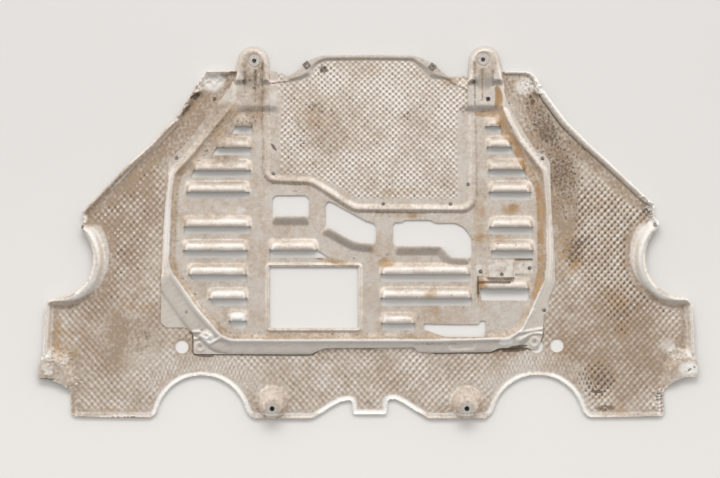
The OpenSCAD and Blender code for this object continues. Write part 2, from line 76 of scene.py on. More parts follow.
OUTER_EDGE = (
    rows([(-240, 275), (-277, 276), (-286, 262), (-302, 235)], 7, 11)
    + rows([(-328, 196), (-369, 153), (-410, 116)], 12, 11)
    + rows([(-463, 61), (-490, 33)], 8, 9)
    + rows([(-483, 22)], 5, 5)
    + rows([(-490, 8)], 12, 15)
    + rows(arc(-536, -45, 68, 38, -72, 12), 20, 15)
    + rows([(-541, -113)], 14, 15)
    + rows([(-549, -120), (-552, -163), (-555, -207)], 12, 11)
    + rows([(-562, -228)], 6, 5)
    + rows([(-563, -249), (-542, -251), (-523, -258), (-508, -270)], 3, 5)
    + rows([(-506, -311), (-497, -314), (-371, -316)], 3, 5)
    + rows([(-361, -308)], 4, 5)
    + rows(arc(-284, -322, 78, 164, 13, 16), 5, 5)
    + rows([(-203, -311), (-194, -318), (-96, -318), (-82, -310), (-62, -297), (-45, -288)], 4, 5)
    + rows([(-28, -286), (-26, -310), (32, -310), (34, -285)], 3, 5)
    + rows([(46, -284), (65, -294), (87, -308), (103, -318), (199, -318), (209, -311)], 4, 5)
    + rows(arc(290, -321, 78, 167, 14, 16), 5, 5)
    + rows([(369, -308)], 4, 5)
    + rows([(377, -315), (501, -314), (506, -308), (504, -269), (523, -253), (542, -246)], 3, 5)
    + rows([(563, -246)], 3, 5)
    + rows([(562, -224)], 6, 5)
    + rows([(557, -208), (556, -161), (552, -120)], 11, 11)
    + rows([(544, -111)], 14, 15)
    + rows(arc(540, -43, 68, -104, -222, 12), 20, 15)
    + rows([(498, 16)], 9, 15)
    + rows([(488, 26), (490, 47)], 5, 5)
    + rows([(478, 58), (448, 86), (413, 119)], 12, 11)
    + rows([(373, 156), (338, 191), (306, 234)], 14, 11)
    + rows([(284, 270)], 9, 8)
    + rows([(273, 275), (236, 275)], 6, 5)
)
RIM_SECTION = [(0, 0.82), (0.25, 1), (0.5, 0.84), (1, 0)]
# The edge of the opening behind the plate, from the upper right to the upper left
OPENING_EDGE = [
    (215, 275), (226, 227), (260, 159), (294, 116), (298, 47), (297, -84), (286, -150), (262, -186),
    (100, -190), (-250, -190), (-274, -172), (-328, -108), (-330, -64), (-327, 56), (-318, 118),
    (-300, 138), (-226, 240), (-212, 275),
]
CONES = [(-163, -289), (168, -289)]
CONE_TIP_SHIFT = -10
CONE_FOOT_R, CONE_TIP_R, CONE_HOLE_R, CONE_H = 28, 13, 4.25, 26
CONE_SECTION = [(0, 0), (0.1, 0.05), (0.2, 0.2), (0.72, 0.82), (0.88, 0.97), (1, 1)]
ACCESS_HOLES = [(-318, -195), (323, -193), (288, -194)]
ACCESS_R = 11.5
CORNER_SCREWS = [(-287, -195), (284, -187)]
CORNER_HOLE_R = 3.3
BEAD_LINE = [(1.5, -286.5), (1.5, -271.5)]

PLATE_EDGE = [
    (-236, 247), (-315, 148), (-340, 124), (-345, 64), (-350, 3), (-353, -74), (-354, -153),
    (-345, -162), (-311, -162), (-298, -173), (-298, -207), (-102, -208), (-98, -208), (-84, -201),
    (-73, -197), (80, -196), (84, -203), (108, -205), (209, -204), (224, -197), (272, -196),
    (277, -199), (290, -199), (298, -176), (300, -142), (310, -132), (306, -119), (320, -84),
    (319, -41), (313, 47), (311, 121), (301, 134), (290, 135), (250, 198), (236, 229), (233, 240),
]
PLATE_INNER_EDGE = [
    (160, 262), (160, 76), (148, 62), (-18, 62), (-30, 70), (-90, 110), (-146, 112), (-156, 122),
    (-156, 262),
]
# The ridge's crest, with the width of its outer slope and the share of its height
RIDGE = [
    (-237, 212, 6, 0.3), (-249, 197, 8, 0.5), (-304, 130, 9, 0.6), (-333, 100, 8, 1), (-338, 56, 6, 1),
    (-340, 3, 8, 1), (-342, -48, 9, 1), (-337, -66, 16, 1), (-335, -70, 34, 1), (-292, -132, 34, 1),
    (-274, -152, 34, 1), (-252, -176, 30, 1), (-234, -184, 27, 1), (123, -184, 25, 1),
    (240, -181, 24, 1), (264, -166, 20, 1), (304, -80, 9, 1), (307, -40, 8, 1), (306, 47, 5, 1),
    (301, 104, 6, 1), (258, 159, 7, 1), (241, 193, 6, 1), (234, 208, 5, 0.35),
]
RIDGE_H = 8
RIDGE_WALL = 13
# From the outer foot over the crest, at 0, down to the louvres
RIDGE_SECTION = [(-1, 0), (-0.88, 0.3), (-0.26, 0.6), (-0.07, 0.94), (0.05, 1), (0.16, 0.92),
                 (0.62, 0.16), (1, 0)]
# Left end above and below, right end below and above, upper and lower edge
SLOTS = [
    (-226, -235, -198, -198, 182, 169), (-259, -268, -200, -200, 146, 132),
    (-298, -304, -201, -201, 107, 94), (-310, -310, -203, -203, 70, 58),
    (-314, -314, -201, -201, 11, -2), (-315, -315, -206, -206, -30, -43),
    (-307, -298, -207, -207, -71, -83), (-272, -264, -207, -207, -112, -125),
    (-238, -231, -208, -208, -150, -164),
    (201, 201, 229, 226, 182, 171), (203, 203, 249, 245, 147, 134), (206, 206, 271, 267, 108, 95),
    (207, 207, 278, 278, 70, 56), (208, 208, 281, 281, 10, -3), (211, 211, 282, 282, -30, -43),
    (192, 192, 275, 275, -95, -116),
    (-168, -168, -65, -87, -29, -43), (22, 22, 174, 174, -70, -84),
    (22, 22, 177, 177, -111, -125), (23, 23, 80, 80, -154, -167),
]
HOOD_H, HOOD_D, HOOD_END = 9, 19, 7
HOOD_SECTION = [(0, 0.93), (0.15, 1), (0.4, 0.9), (0.72, 0.42), (1, 0)]
WINDOWS = [
    [(-164, 58), (-158, 64), (-106, 64), (-100, 58), (-100, 28), (-164, 28)],
    [(-73, 47), (-69, 54), (-63, 53), (-3, 20), (9, 17), (14, 12), (14, -14), (11, -19), (-21, -16),
     (-66, 8), (-73, 12)],
    [(42, 14), (47, 18), (58, 18), (63, 22), (107, 22), (115, 17), (148, 17), (162, 11), (172, 0),
     (177, -10), (178, -38), (173, -43), (144, -43), (138, -38), (124, -23), (47, -23), (42, -18)],
]
SCOOPS = [
    [(-100, 28), (-164, 28)],
    [(11, -19), (-21, -16), (-66, 8), (-73, 12)],
    [(173, -43), (144, -43), (138, -38), (124, -23), (47, -23)],
]
SCOOP_D, SCOOP_H = 16, 7
SCOOP_SECTION = [(0, 0.97), (0.06, 1), (0.3, 0.9), (0.6, 0.5), (0.85, 0.12), (1, 0)]
FRAME_BOX = [(-175, -170), (-10, -52)]
FRAME_H = 2.5
FRAME_SECTION = [(0, 0), (2.4, 1), (4.2, 1), (6.6, 0.16)]
PATCH_CUT = [(96, -155), (95, -165), (116, -173), (132, -178), (201, -178), (201, -150),
             (191, -150), (190, -156), (128, -156)]

# Each tab: the round end's middle, and how far the tongue flares on its two sides
TABS = [(-196, 291, 8, 4), (199, 292, 4, 8)]
TAB_HOLES = [(-194, 293), (196, 295)]
TAB_R, TAB_FLANGE, TAB_HOLE_R = 26, 8, 3.75
TAB_SIDE = [(200, 0), (204, 0), (219, 5), (251, 5), (262, 11), (330, 11)]
TAB_FLANGE_SECTION = [(0, 0.1), (0.35, 0.6), (0.7, 0.93), (1, 1)]
POCKET_R, POCKET_D = 12.5, 1.2
TAB_GROOVES = [(-210, 239, 273), (-192, 222, 275), (-180, 195, 288), (182, 216, 288),
               (195, 226, 276), (213, 250, 275)]
TAB_SMALL_HOLES = [(-202, 260, 1.4), (205, 228, 3.2)]

PANEL_EDGE = (
    [(-180, 200)] + arc(-157, 107, 23, 180, 268, 5) + [(-99, 82), (-40, 45), (-24, 35)]
    + arc(160, 60, 26, 270, 360, 5) + [(184, 200)]
)
PANEL_BORDER_W, PANEL_BORDER_H = 15, 3
PANEL_BORDER = [(0, 0.1), (0.16, 0.5), (0.29, 0.93), (0.38, 1), (1, 0)]
PANEL_SIDES = [(169.8, 200), (169.8, 268)], [(-157, 275), (-167, 275), (-167, 200)]
EARS_EDGE = [(142, 265), (134, 268), (117, 282), (104, 291), (91, 298), (78, 302), (0, 303),
             (-78, 302), (-93, 297), (-103, 292), (-111, 284), (-124, 274), (-135, 266)]
EARS_STEP = [(140, 258), (132, 262), (117, 262), (105, 264), (95, 276), (76, 294), (0, 295),
             (-74, 294), (-86, 288), (-94, 278), (-98, 268), (-115, 261), (-133, 259)]
EARS_SLOPE, EAR_H = 0.38, 4

PLATE_RIVETS = [(-327, 128, 3), (-310, -135, 5.6), (-93, -200, 3), (99, -197, 3),
                (301, -132, 3), (298, 127, 3)]
PANEL_RIVETS = [(26, 49, 4.5), (141, 49, 4.5), (171, 83, 4.5), (-162, 101, 4.5)]
BRACKET_RIVETS = [(192, -66, 4.2), (276, -60, 4.2)]
RIVET_PROFILE = [(3.4, 0), (3.35, 0.45), (3.0, 0.95), (2.3, 1.3), (1.5, 1.48), (1.25, 1.5),
                 (1.0, 1.25), (0.85, 0.75), (0.6, 0.6), (0.3, 0.62)]


# Arithmetic on arrays of points


def curve(u, section):
    """The height of a section at u: cubic pieces through its points. The slope at a point is the
    harmonic mean of its two neighbours' slopes, or 0 at a crest, a valley or an end, so that the
    section never swings past its points."""
    x, y = np.array(section, float).T
    d = np.diff(y) / np.diff(x)
    rising = d[:-1] * d[1:] > 0
    total = np.where(rising, d[:-1] + d[1:], 1)
    slope = np.r_[0, np.where(rising, 2 * d[:-1] * d[1:] / total, 0), 0]
    i = np.clip(np.searchsorted(x, u, side="right") - 1, 0, len(x) - 2)
    h = x[i + 1] - x[i]
    t = np.clip((u - x[i]) / h, 0, 1)
    a, b = (1 + 2 * t) * (1 - t) ** 2, t * t * (3 - 2 * t)
    c, d = t * (1 - t) ** 2, t * t * (t - 1)
    return a * y[i] + b * y[i + 1] + h * (c * slope[i] + d * slope[i + 1])


def ease(value, low, high):
    """0 below low, 1 above high, and 3t^2 - 2t^3 between them."""
    t = np.clip((value - low) / (high - low), 0, 1)
    return t * t * (3 - 2 * t)


def soften(path, cut, closed=False, steps=4):
    """The path with each corner made a parabola that leaves its two edges `cut` before the corner,
    or a little before the middle of a short edge."""
    p = np.asarray(path, float)
    a, b = np.roll(p, 1, 0), np.roll(p, -1, 0)
    before = np.linalg.norm((a - p)[:, :2], axis=1)[:, None]
    after = np.linalg.norm((b - p)[:, :2], axis=1)[:, None]
    start = p + (a - p) * np.minimum(cut / before, 0.45)
    end = p + (b - p) * np.minimum(cut / after, 0.45)
    t = np.linspace(0, 1, steps + 1)[None, :, None]
    bend = (1 - t) ** 2 * start[:, None] + 2 * t * (1 - t) * p[:, None] + t * t * end[:, None]
    out = bend.reshape(-1, p.shape[1])
    return out if closed else np.vstack([p[:1], out[steps + 1:-steps - 1], p[-1:]])


def resample(ring, step):
    """Points about every `step` along a closed ring, evenly spaced by its length."""
    ring = np.vstack([ring, ring[:1]])
    place = np.append(0, np.cumsum(np.linalg.norm(np.diff(ring, axis=0), axis=1)))
    count = max(int(place[-1] / step), 28)
    at = np.linspace(0, place[-1], count, endpoint=False)
    return np.column_stack([np.interp(at, place, ring[:, k]) for k in (0, 1)])


def circle(x, y, r):
    """A ring of points round (x, y)."""
    return np.array(arc(x, y, r, 0, 360, 48)[:-1])


def nearest(points, path, reach):
    """How each point lies to a path: its distance, positive to the path's left; its place along
    the path; and the path's further values there.

    Each segment is tried on the points within reach of it, and the shortest distance counts.
    Points out of reach of all segments keep the distance FAR."""
    path = np.asarray(path, float)
    best, side = np.full(len(points), FAR), np.ones(len(points))
    place, values = np.zeros(len(points)), np.zeros((len(points), path.shape[1] - 2))
    run = 0.0
    order = np.argsort(points[:, 0], kind="stable")
    column = points[order, 0]
    for a, b in zip(path[:-1], path[1:]):
        edge = b[:2] - a[:2]
        length = max(np.hypot(*edge), 1e-9)
        low, high = np.minimum(a[:2], b[:2]) - reach, np.maximum(a[:2], b[:2]) + reach
        near = order[np.searchsorted(column, low[0]):np.searchsorted(column, high[0])]
        near = near[(points[near, 1] > low[1]) & (points[near, 1] < high[1])]
        q = points[near] - a[:2]
        t = np.clip(q @ edge / length**2, 0, 1)
        distance = np.hypot(q[:, 0] - t * edge[0], q[:, 1] - t * edge[1])
        hit = distance < best[near]
        i, t = near[hit], t[hit]
        best[i] = distance[hit]
        side[i] = np.where(edge[0] * q[hit, 1] >= edge[1] * q[hit, 0], 1, -1)
        place[i] = run + t * length
        values[i] = a[2:] + t[:, None] * (b[2:] - a[2:])
        run += length
    return best * side, place, values


def inside(points, ring):
    """Whether each point lies in a ring: a ray from it crosses the ring an odd number of times."""
    order = np.argsort(points[:, 1], kind="stable")
    x, y = points[order].T
    odd = np.zeros(len(points), bool)
    for (x0, y0), (x1, y1) in zip(ring, np.roll(ring, -1, 0)):
        if y0 != y1:
            i, j = np.searchsorted(y, (min(y0, y1), max(y0, y1)))
            odd[i:j] ^= x[i:j] < x0 + (y[i:j] - y0) * (x1 - x0) / (y1 - y0)
    result = np.zeros(len(points), bool)
    result[order] = odd
    return result


def wander(points, size, seed, waves=9):
    """A smooth uneven height, mostly between -1 and 1: a sum of sine waves of lengths about `size`
    whose directions, lengths and phases come from a seeded generator."""
    rng = np.random.default_rng(seed)
    turn, phase = rng.uniform(0, 2 * np.pi, (2, waves))
    length = size * rng.uniform(0.7, 1.5, waves)
    k = np.column_stack([np.cos(turn), np.sin(turn)]) * (2 * np.pi / length)[:, None]
    return np.sin(points @ k.T + phase).sum(1) * (1.4 / waves) ** 0.5 * 0.8


def blob(points, x, y, rx, ry, turn=0.0, edge=0.5):
    """1 in the middle of a turned ellipse and 0 outside it, eased over its outer share `edge`."""
    a = np.radians(turn)
    q = points - (x, y)
    u = (q[:, 0] * np.cos(a) + q[:, 1] * np.sin(a)) / rx
    v = (q[:, 1] * np.cos(a) - q[:, 0] * np.sin(a)) / ry
    return 1 - ease(np.hypot(u, v), 1 - edge, 1)


def marked(p, values, marks):
    """The values, each with the eased ellipses of its own marks added: name, x, y, two half widths,
    turn and share."""
    for name, x, y, rx, ry, turn, share in marks:
        values[name] = values[name] + share * blob(p, x, y, rx, ry, turn, 0.6)
    return {name: np.clip(value, 0, 1) for name, value in values.items()}


# From heights to closed sheets


def lattice(rings, dx, dy, clear):
    """Rows of points in the first ring and outside the others, every second row moved by half a
    step, at least `clear` from every ring."""
    low, high = rings[0].min(0), rings[0].max(0)
    y = np.arange(low[1], high[1], dy)
    x = np.arange(low[0], high[0], dx)
    grid = np.stack(np.meshgrid(x, y), -1)
    grid[1::2, :, 0] += dx / 2
    points = grid.reshape(-1, 2)
    points = points[inside(points, rings[0])]
    for ring in rings[1:]:
        box = ((points > ring.min(0)) & (points < ring.max(0))).all(1)
        gone = box.copy()
        gone[box] = inside(points[box], ring)
        points = points[~gone]
    for ring in rings:
        closed = np.vstack([ring, ring[:1]])
        points = points[np.abs(nearest(points, closed, clear)[0]) > clear]
    return points


def triangles(edge, sizes, rings, inner):
    """Delaunay triangles over the rings' points and the inner ones that keep the rings' edges."""
    start = np.append(0, np.cumsum(sizes))
    links = [(s + i, s + (i + 1) % n) for s, n in zip(start, sizes) for i in range(n)]
    points = np.vstack([edge, inner])
    found = geometry.delaunay_2d_cdt(points.tolist(), links, [], 0, 1e-7, False)
    if len(found[0]) != len(points):
        raise RuntimeError("two rings of a sheet cross")
    faces = np.array(found[2], int)
    rim = np.flatnonzero((faces < len(edge)).all(1))
    middle = points[faces[rim]].mean(1)
    keep = inside(middle, rings[0])
    for ring in rings[1:]:
        keep &= ~inside(middle, ring)
    faces = np.delete(faces, rim[~keep], 0)
    a, b, c = points[faces].transpose(1, 0, 2)
    u, v = b - a, c - a
    area = u[:, 0] * v[:, 1] - u[:, 1] * v[:, 0]
    faces[area < 0] = faces[area < 0][:, ::-1]
    return points, faces


def closed_sheet(rings, step, form, skin, back_step=4.5, seeds=(), low=0.0):
    """A formed sheet as points, faces and the values of its skin at the points.

    Upper face: form(p) + the skin's relief, over a lattice with the given steps and the seeds.
    Underside: the lowest form round each point, less the thickness, over a coarser lattice, and
    never under `low`.
    Cut edges: two triangles for each ring edge between them."""
    rings = [resample(np.asarray(r, float), step[0]) for r in rings]
    sizes = [len(r) for r in rings]
    edge = np.vstack(rings)
    inner = lattice(rings, *step, 0.55 * step[0])
    for x, y, r, extra in seeds:
        inner = np.vstack([inner[np.hypot(*(inner - (x, y)).T) > r], extra])
    top, top_faces = triangles(edge, sizes, rings, inner)
    back, back_faces = triangles(edge, sizes, rings, lattice(rings, back_step, back_step * 0.86, 2))
    relief, values = skin(top)
    z_top = np.maximum(form(top) + relief, low + SHEET_T / 2)
    z_back = form(back)
    for a in np.arange(6) * np.pi / 3:
        z_back[len(edge):] = np.minimum(
            z_back[len(edge):],
            form(back[len(edge):] + 0.55 * back_step * np.array([np.cos(a), np.sin(a)])),
        )
    z_back = np.maximum(z_back - SHEET_T, low)
    points = np.vstack([np.column_stack([top, z_top]), np.column_stack([back, z_back])])
    walls, start = [], 0
    for ring, size in zip(rings, sizes):
        i = start + np.arange(size)
        j = start + (np.arange(size) + 1) % size
        x, y = ring.T
        turn = np.sum(x * np.roll(y, -1) - np.roll(x, -1) * y)
        if (turn > 0) != (start == 0):
            i, j = j, i
        wall = np.array([[i, i + len(top), j + len(top)], [i, j + len(top), j]])
        walls.append(wall.transpose(2, 0, 1).reshape(-1, 3))
        start += size
    faces = np.vstack([top_faces, back_faces[:, ::-1] + len(top), *walls])
    plain = skin(back)[1]
    plain["wear"] = np.full(len(back), 0.35)
    return points, faces, {k: np.append(v, plain[k]) for k, v in values.items()}


def put_mesh(name, points, faces, values=None, sharp=50.0):
    """A mesh object at the origin from millimetre points, triangles and values at the points."""
    mesh = bpy.data.meshes.new(name)
    mesh.vertices.add(len(points))
    mesh.vertices.foreach_set("co", (points * MM).astype(np.float32).ravel())
    mesh.loops.add(faces.size)
    mesh.loops.foreach_set("vertex_index", faces.astype(np.int32).ravel())
    mesh.polygons.add(len(faces))
    mesh.polygons.foreach_set("loop_start", np.arange(0, faces.size, 3, dtype=np.int32))
    mesh.update(calc_edges=True)
    if mesh.validate():
        raise RuntimeError(name + " has faulty faces")
    for key, value in (values or {}).items():
        layer = mesh.attributes.new(key, "FLOAT", "POINT")
        layer.data.foreach_set("value", np.asarray(value, np.float32))
    mesh.shade_smooth()
    mesh.set_sharp_from_angle(angle=np.radians(sharp))
    piece = bpy.data.objects.new(name, mesh)
    bpy.context.collection.objects.link(piece)
    return piece


def turned(profile, places, steps=32):
    """Turned pieces: the profile (radius, height) from the foot up to the middle, carried round
    each place (x, y, z), with its last point closed by a fan and its foot by another."""
    r, h = np.array(profile, float).T
    a = np.arange(steps) * 2 * np.pi / steps
    ring = np.stack([np.outer(r, np.cos(a)), np.outer(r, np.sin(a)),
                     np.repeat(h[:, None], steps, 1)], -1).reshape(-1, 3)
    one = np.vstack([ring, [(0, 0, h[-1])], [(0, 0, h[0])]])
    i = np.arange((len(r) - 1) * steps)
    j = i - i % steps + (i + 1) % steps
    quads = np.vstack([np.column_stack([i, j, j + steps]), np.column_stack([i, j + steps, i + steps])])
    k = np.arange(steps)
    last = (len(r) - 1) * steps
    top = np.column_stack([last + k, last + (k + 1) % steps, np.full(steps, len(ring))])
    foot = np.column_stack([(k + 1) % steps, k, np.full(steps, len(ring) + 1)])
    faces = np.vstack([quads, top, foot])
    places = np.asarray(places, float)
    points = (one[None] + places[:, None]).reshape(-1, 3)
    shift = np.arange(len(places)) * len(one)
    return points, (faces[None] + shift[:, None, None]).reshape(-1, 3)


# The outer sheet


OUTER_RIM = soften(OUTER_EDGE, 5)
OUTER_RINGS = [np.vstack([OUTER_RIM[:, :2], OPENING_EDGE])]
OUTER_RINGS += [circle(x, y + CONE_TIP_SHIFT, CONE_HOLE_R) for x, y in CONES]
OUTER_RINGS += [circle(x, y, ACCESS_R) for x, y in ACCESS_HOLES]
OUTER_RINGS += [circle(*CORNER_SCREWS[0], CORNER_HOLE_R)]
PLATE_OUTLINE = soften(PLATE_EDGE + [(-230, 262)], 4, closed=True)
# Where the sheet is plain: x, y, two half widths, turn, and the share of relief it takes away
PLAIN_SPOTS = [(-410, -184, 68, 62, -30, 1), (-535, -222, 62, 48, 0, 1), (535, -220, 60, 46, 0, 1)]
# Raised seats in the wings' lower corners, and round seats: x, y, radius, level of the top
SEATS = [(-546, -250, 50, 58), (548, -248, 48, 56)]
DISCS = [(-545.5, -235, 11.5, 12.5), (549, -235, 9, 12), (292, 243.5, 9.5, 10), (-289.5, 244, 8.5, 9)]
# Plain areas beside the plate's upper corners, which only have a fine uneven grain
PLAIN_AREAS = [
    [(-200, 300), (-310, 300), (-352, 192), (-392, 142), (-345, 112), (-300, 130), (-220, 240)],
    [(200, 300), (310, 300), (372, 190), (392, 150), (356, 122), (352, 30), (336, -40), (300, -40),
     (300, 120), (230, 230)],
]
# Crushed places: x, y, two half widths, turn, height, and the distance between creases
CRUSHED = [
    (-292, 252, 30, 20, 60, 3.0, 13), (-308, 222, 26, 13, 55, 3.0, 10), (-334, 190, 30, 11, 48, 2.2, 9),
    (-262, 262, 34, 20, 0, 1.6, 16), (-486, 22, 15, 17, 0, 3.2, 10), (486, 36, 24, 20, -30, 3.6, 11),
    (470, 56, 24, 12, -40, 2.4, 9), (497, -284, 15, 32, 0, 3.0, 12), (-527, -211, 32, 22, 0, 2.2, 8),
    (530, -206, 30, 20, 0, 2.2, 8), (284, 250, 26, 22, 0, 2.0, 13), (-498, -255, 20, 14, 0, 1.4, 8),
]


# Marks: name of the value, x, y, two half widths, turn, share
# The pale marks are partly crushed metal and partly painted highlights on lit slopes and crests; the dirt_and_shade
# and grime_and_shade marks under the plate's lower flange, near (-280, -212) and (245, -202), are a painted shadow.
OUTER_MARKS = [
    ("pale", -266, 258, 32, 24, 0, 0.8), ("pale", -525, -213, 26, 20, 0, 0.5),
    ("pale", 530, -206, 28, 18, 0, 0.5), ("pale", 547, -232, 22, 17, 0, 1.3),
    ("pale", -545, -236, 13, 11, 0, 0.6), ("pale", -486, 24, 10, 12, 0, 0.9),
    ("pale", 268, 250, 26, 20, 0, 0.7), ("pale", 486, 36, 22, 16, -30, 0.5),
    ("pale", -345, 165, 50, 2.4, 47, 0.9), ("pale", -420, 93, 50, 2.4, 45, 0.9),
    ("pale", 497, -290, 10, 26, 0, 0.5), ("pale", 292, 243, 9, 9, 0, 0.6),
    ("stain", 345, -38, 30, 50, 10, 0.45), ("stain", 432, -141, 26, 60, 8, 0.4),
    ("dirt_and_shade", 348, -30, 26, 34, 10, 0.45), ("dirt_and_shade", 372, -15, 20, 16, 20, 0.35),
    ("dirt_and_shade", 432, -145, 24, 46, 8, 0.25), ("stain", 390, -249, 34, 34, 0, 0.3),
    ("dirt_and_shade", 391, -256, 32, 30, 0, 0.35), ("clean", -392, -205, 44, 30, 20, 0.45),
    ("dirt_and_shade", -405, -160, 40, 26, 0, 0.2), ("stain", -395, -128, 44, 12, -10, 0.4),
    ("dirt_and_shade", -378, -176, 10, 12, 0, 0.45), ("dirt_and_shade", -393, -196, 12, 6, 60, 0.45),
    ("dirt_and_shade", -262.5, 228.6, 4, 5.5, -30, 1.4), ("dirt_and_shade", -292, 234, 13, 6, 50, 0.7),
    ("clean", -289, 244, 9, 9, 0, 1), ("dirt_and_shade", -299, 232, 9, 3, 40, 1.2),
    ("dirt_and_shade", -312, 208, 22, 4, 50, 0.6), ("stain", -345, 165, 34, 10, 46, 0.4),
    ("stain", -306, 205, 40, 10, 52, 0.5), ("clean", -268, 264, 30, 16, 0, 1),
    ("clean", -262, 190, 26, 30, 0, 0.7), ("dirt_and_shade", 281, 224, 5, 6, 0, 0.9),
    ("stain", 281, 224, 7, 8, 0, 1), ("dirt_and_shade", 277, 232, 3.5, 4, 0, 1.2),
    ("dirt_and_shade", 298, 190, 26, 70, 30, 0.35), ("grime_and_shade", 300, 180, 30, 80, 30, 0.5),
    ("dirt_and_shade", 340, 70, 40, 100, 12, 0.25), ("grime_and_shade", 334, 60, 36, 130, 12, 0.6),
    ("dirt_and_shade", 320, 130, 50, 100, 25, 0.22),
    ("pale", 489, 14, 13, 14, 0, 1.2), ("dirt_and_shade", 489, 13, 4, 5, 0, 1.8), ("dirt_and_shade", 476, 36, 14, 8, -30, 0.6),
    ("dirt_and_shade", -487, 10, 4, 5, 0, 1.4), ("stain", -425, -302, 60, 5, 0, 0.5),
    ("stain", 420, -302, 40, 10, 0, 0.4), ("dirt_and_shade", 405, -300, 26, 8, 0, 0.6),
    ("grime_and_shade", 503, -214, 26, 32, 0, -0.9), ("pale", 512, -190, 20, 16, 0, 0.5),
    ("dirt_and_shade", -550, -250, 26, 4, 0, 0.8), ("dirt_and_shade", 497, -280, 8, 22, 0, 0.5),
    ("stain", -430, 120, 40, 12, 42, 0.5), ("grime_and_shade", -470, -60, 50, 60, 0, 0.4),
    ("dirt_and_shade", -280, -210, 20, 4, -4, 1.3), ("grime_and_shade", -280, -214, 34, 9, 0, 0.7),
    ("dirt_and_shade", 250, -200, 28, 5, 4, 1.5), ("grime_and_shade", 240, -204, 50, 10, 4, 0.7), ("dirt_and_shade", 548, -234, 5, 2, 40, 1.4),
    ("dirt_and_shade", 556, -229, 4, 2, -20, 1.2), ("clean", 547, -232, 24, 17, 0, 1.5),
    ("stain", -520, -190, 30, 50, 20, 0.4), ("dirt_and_shade", 392, -272, 14, 3, 0, 0.8),
    ("grime_and_shade", -320, 180, 80, 60, 45, 0.8), ("dirt_and_shade", -320, 180, 80, 60, 45, 0.12),
]
# Bands inside the rims of the side cuts, painted lighter as lit slopes: middle of an ellipse and its half widths
SIDE_BANDS = [(-486, -38, 45, 70), (488, -35, 41, 62)]
# Middles of the two low half-round cut-outs, round which the embossing is drawn out
CUTS = [(-284, -322), (290, -321)]


def cone_share(points, x, y):
    """How far up a skewed cone each point lies, from 0 at its foot to 1 at its tip.

    At share s the cone's circle is shifted by s times the tip's shift and its radius is
    R + s (r - R), so s solves a quadratic in the point's place."""
    q = points - (x, y)
    dr = CONE_TIP_R - CONE_FOOT_R
    a = CONE_TIP_SHIFT**2 - dr**2
    b = q[:, 1] * CONE_TIP_SHIFT + CONE_FOOT_R * dr
    c = (q**2).sum(1) - CONE_FOOT_R**2
    root = np.sqrt(np.maximum(b * b - a * c, 0))
    return np.clip((b + root) / a, 0, 1)


def cone_seeds():
    """Rings of points that carry the cones' walls and tips, in place of the lattice there."""
    seeds = []
    a = np.linspace(0, 2 * np.pi, 72, endpoint=False)
    for x, y in CONES:
        share = np.linspace(0, 1, 14)
        r = np.append(CONE_FOOT_R + share * (CONE_TIP_R - CONE_FOOT_R), [11, 8.5, 6.3])
        dy = CONE_TIP_SHIFT * np.append(share, [1, 1, 1])
        ring = np.stack([x + np.outer(r, np.cos(a)), y + dy[:, None] + np.outer(r, np.sin(a))], -1)
        seeds.append((x, y, CONE_FOOT_R + 1, ring.reshape(-1, 2)))
    return seeds


def outer_form(p):
    """Height of the outer sheet: its flat level, the rim's section across its width, the skewed cones, the bead, the
    raised corner seats of the wings with crinkles beside them, the round seats, and the crushed places."""
    d, _, size = nearest(p, OUTER_RIM, 26)
    width, height = size.T
    u = d / np.maximum(width, 1)
    z = SHEET_T + np.where((u < 1) & (d < FAR), height * curve(np.clip(u, 0, 1), RIM_SECTION), 0)
    for x, y in CONES:
        z += (CONE_H - SHEET_T) * curve(cone_share(p, x, y), CONE_SECTION)
    bead = np.abs(nearest(p, BEAD_LINE, 12)[0])
    z += 3 * (1 - ease(bead, 1, 7.5))
    for x, y, rx, ry in SEATS:
        z = np.maximum(z, SHEET_T + 10 * blob(p, x, y, rx, ry, 0, 0.42))
        z += 0.6 * np.sin(p[:, 0] * 1.15 + 2 * wander(p, 40, 60)) * blob(p, x * 0.97, y + 45, 34, 17)
    for x, y, r, lift in DISCS:
        gap, way = np.hypot(p[:, 0] - x, p[:, 1] - y), np.arctan2(p[:, 1] - y, p[:, 0] - x)
        petals = 0.5 * np.cos(5 * way + 0.5 * gap) * ease(gap, 1, 4)
        z += (lift + petals - z) * (1 - ease(gap, r - 2.2, r)) - 0.8 * (1 - ease(gap, 1.5, 3.5))
    for i, (x, y, rx, ry, turn, tall, size) in enumerate(CRUSHED):
        place = blob(p, x, y, rx, ry, turn, 0.7)
        near = place > 0
        crease = 1 - np.abs(wander(p[near], size, 40 + i)).clip(0, 1) * 1.6
        z[near] += tall * crease * place[near]
    return z


def ribs(p, lean, k=(0.0901, 0.0813)):
    """The embossed relief, between about -1 and 1: two crossed cosine waves, of which `lean`
    above a half makes ribs that fall to the right, and below a half ribs that rise."""
    q = p + 0.7 * np.column_stack([wander(p, 55, 3), wander(p, 60, 4)])
    one = np.cos(2 * np.pi * (q @ (k[0], k[1])))
    two = np.cos(2 * np.pi * (q @ (k[0], -k[1])))
    return lean * one + (1 - lean) * two


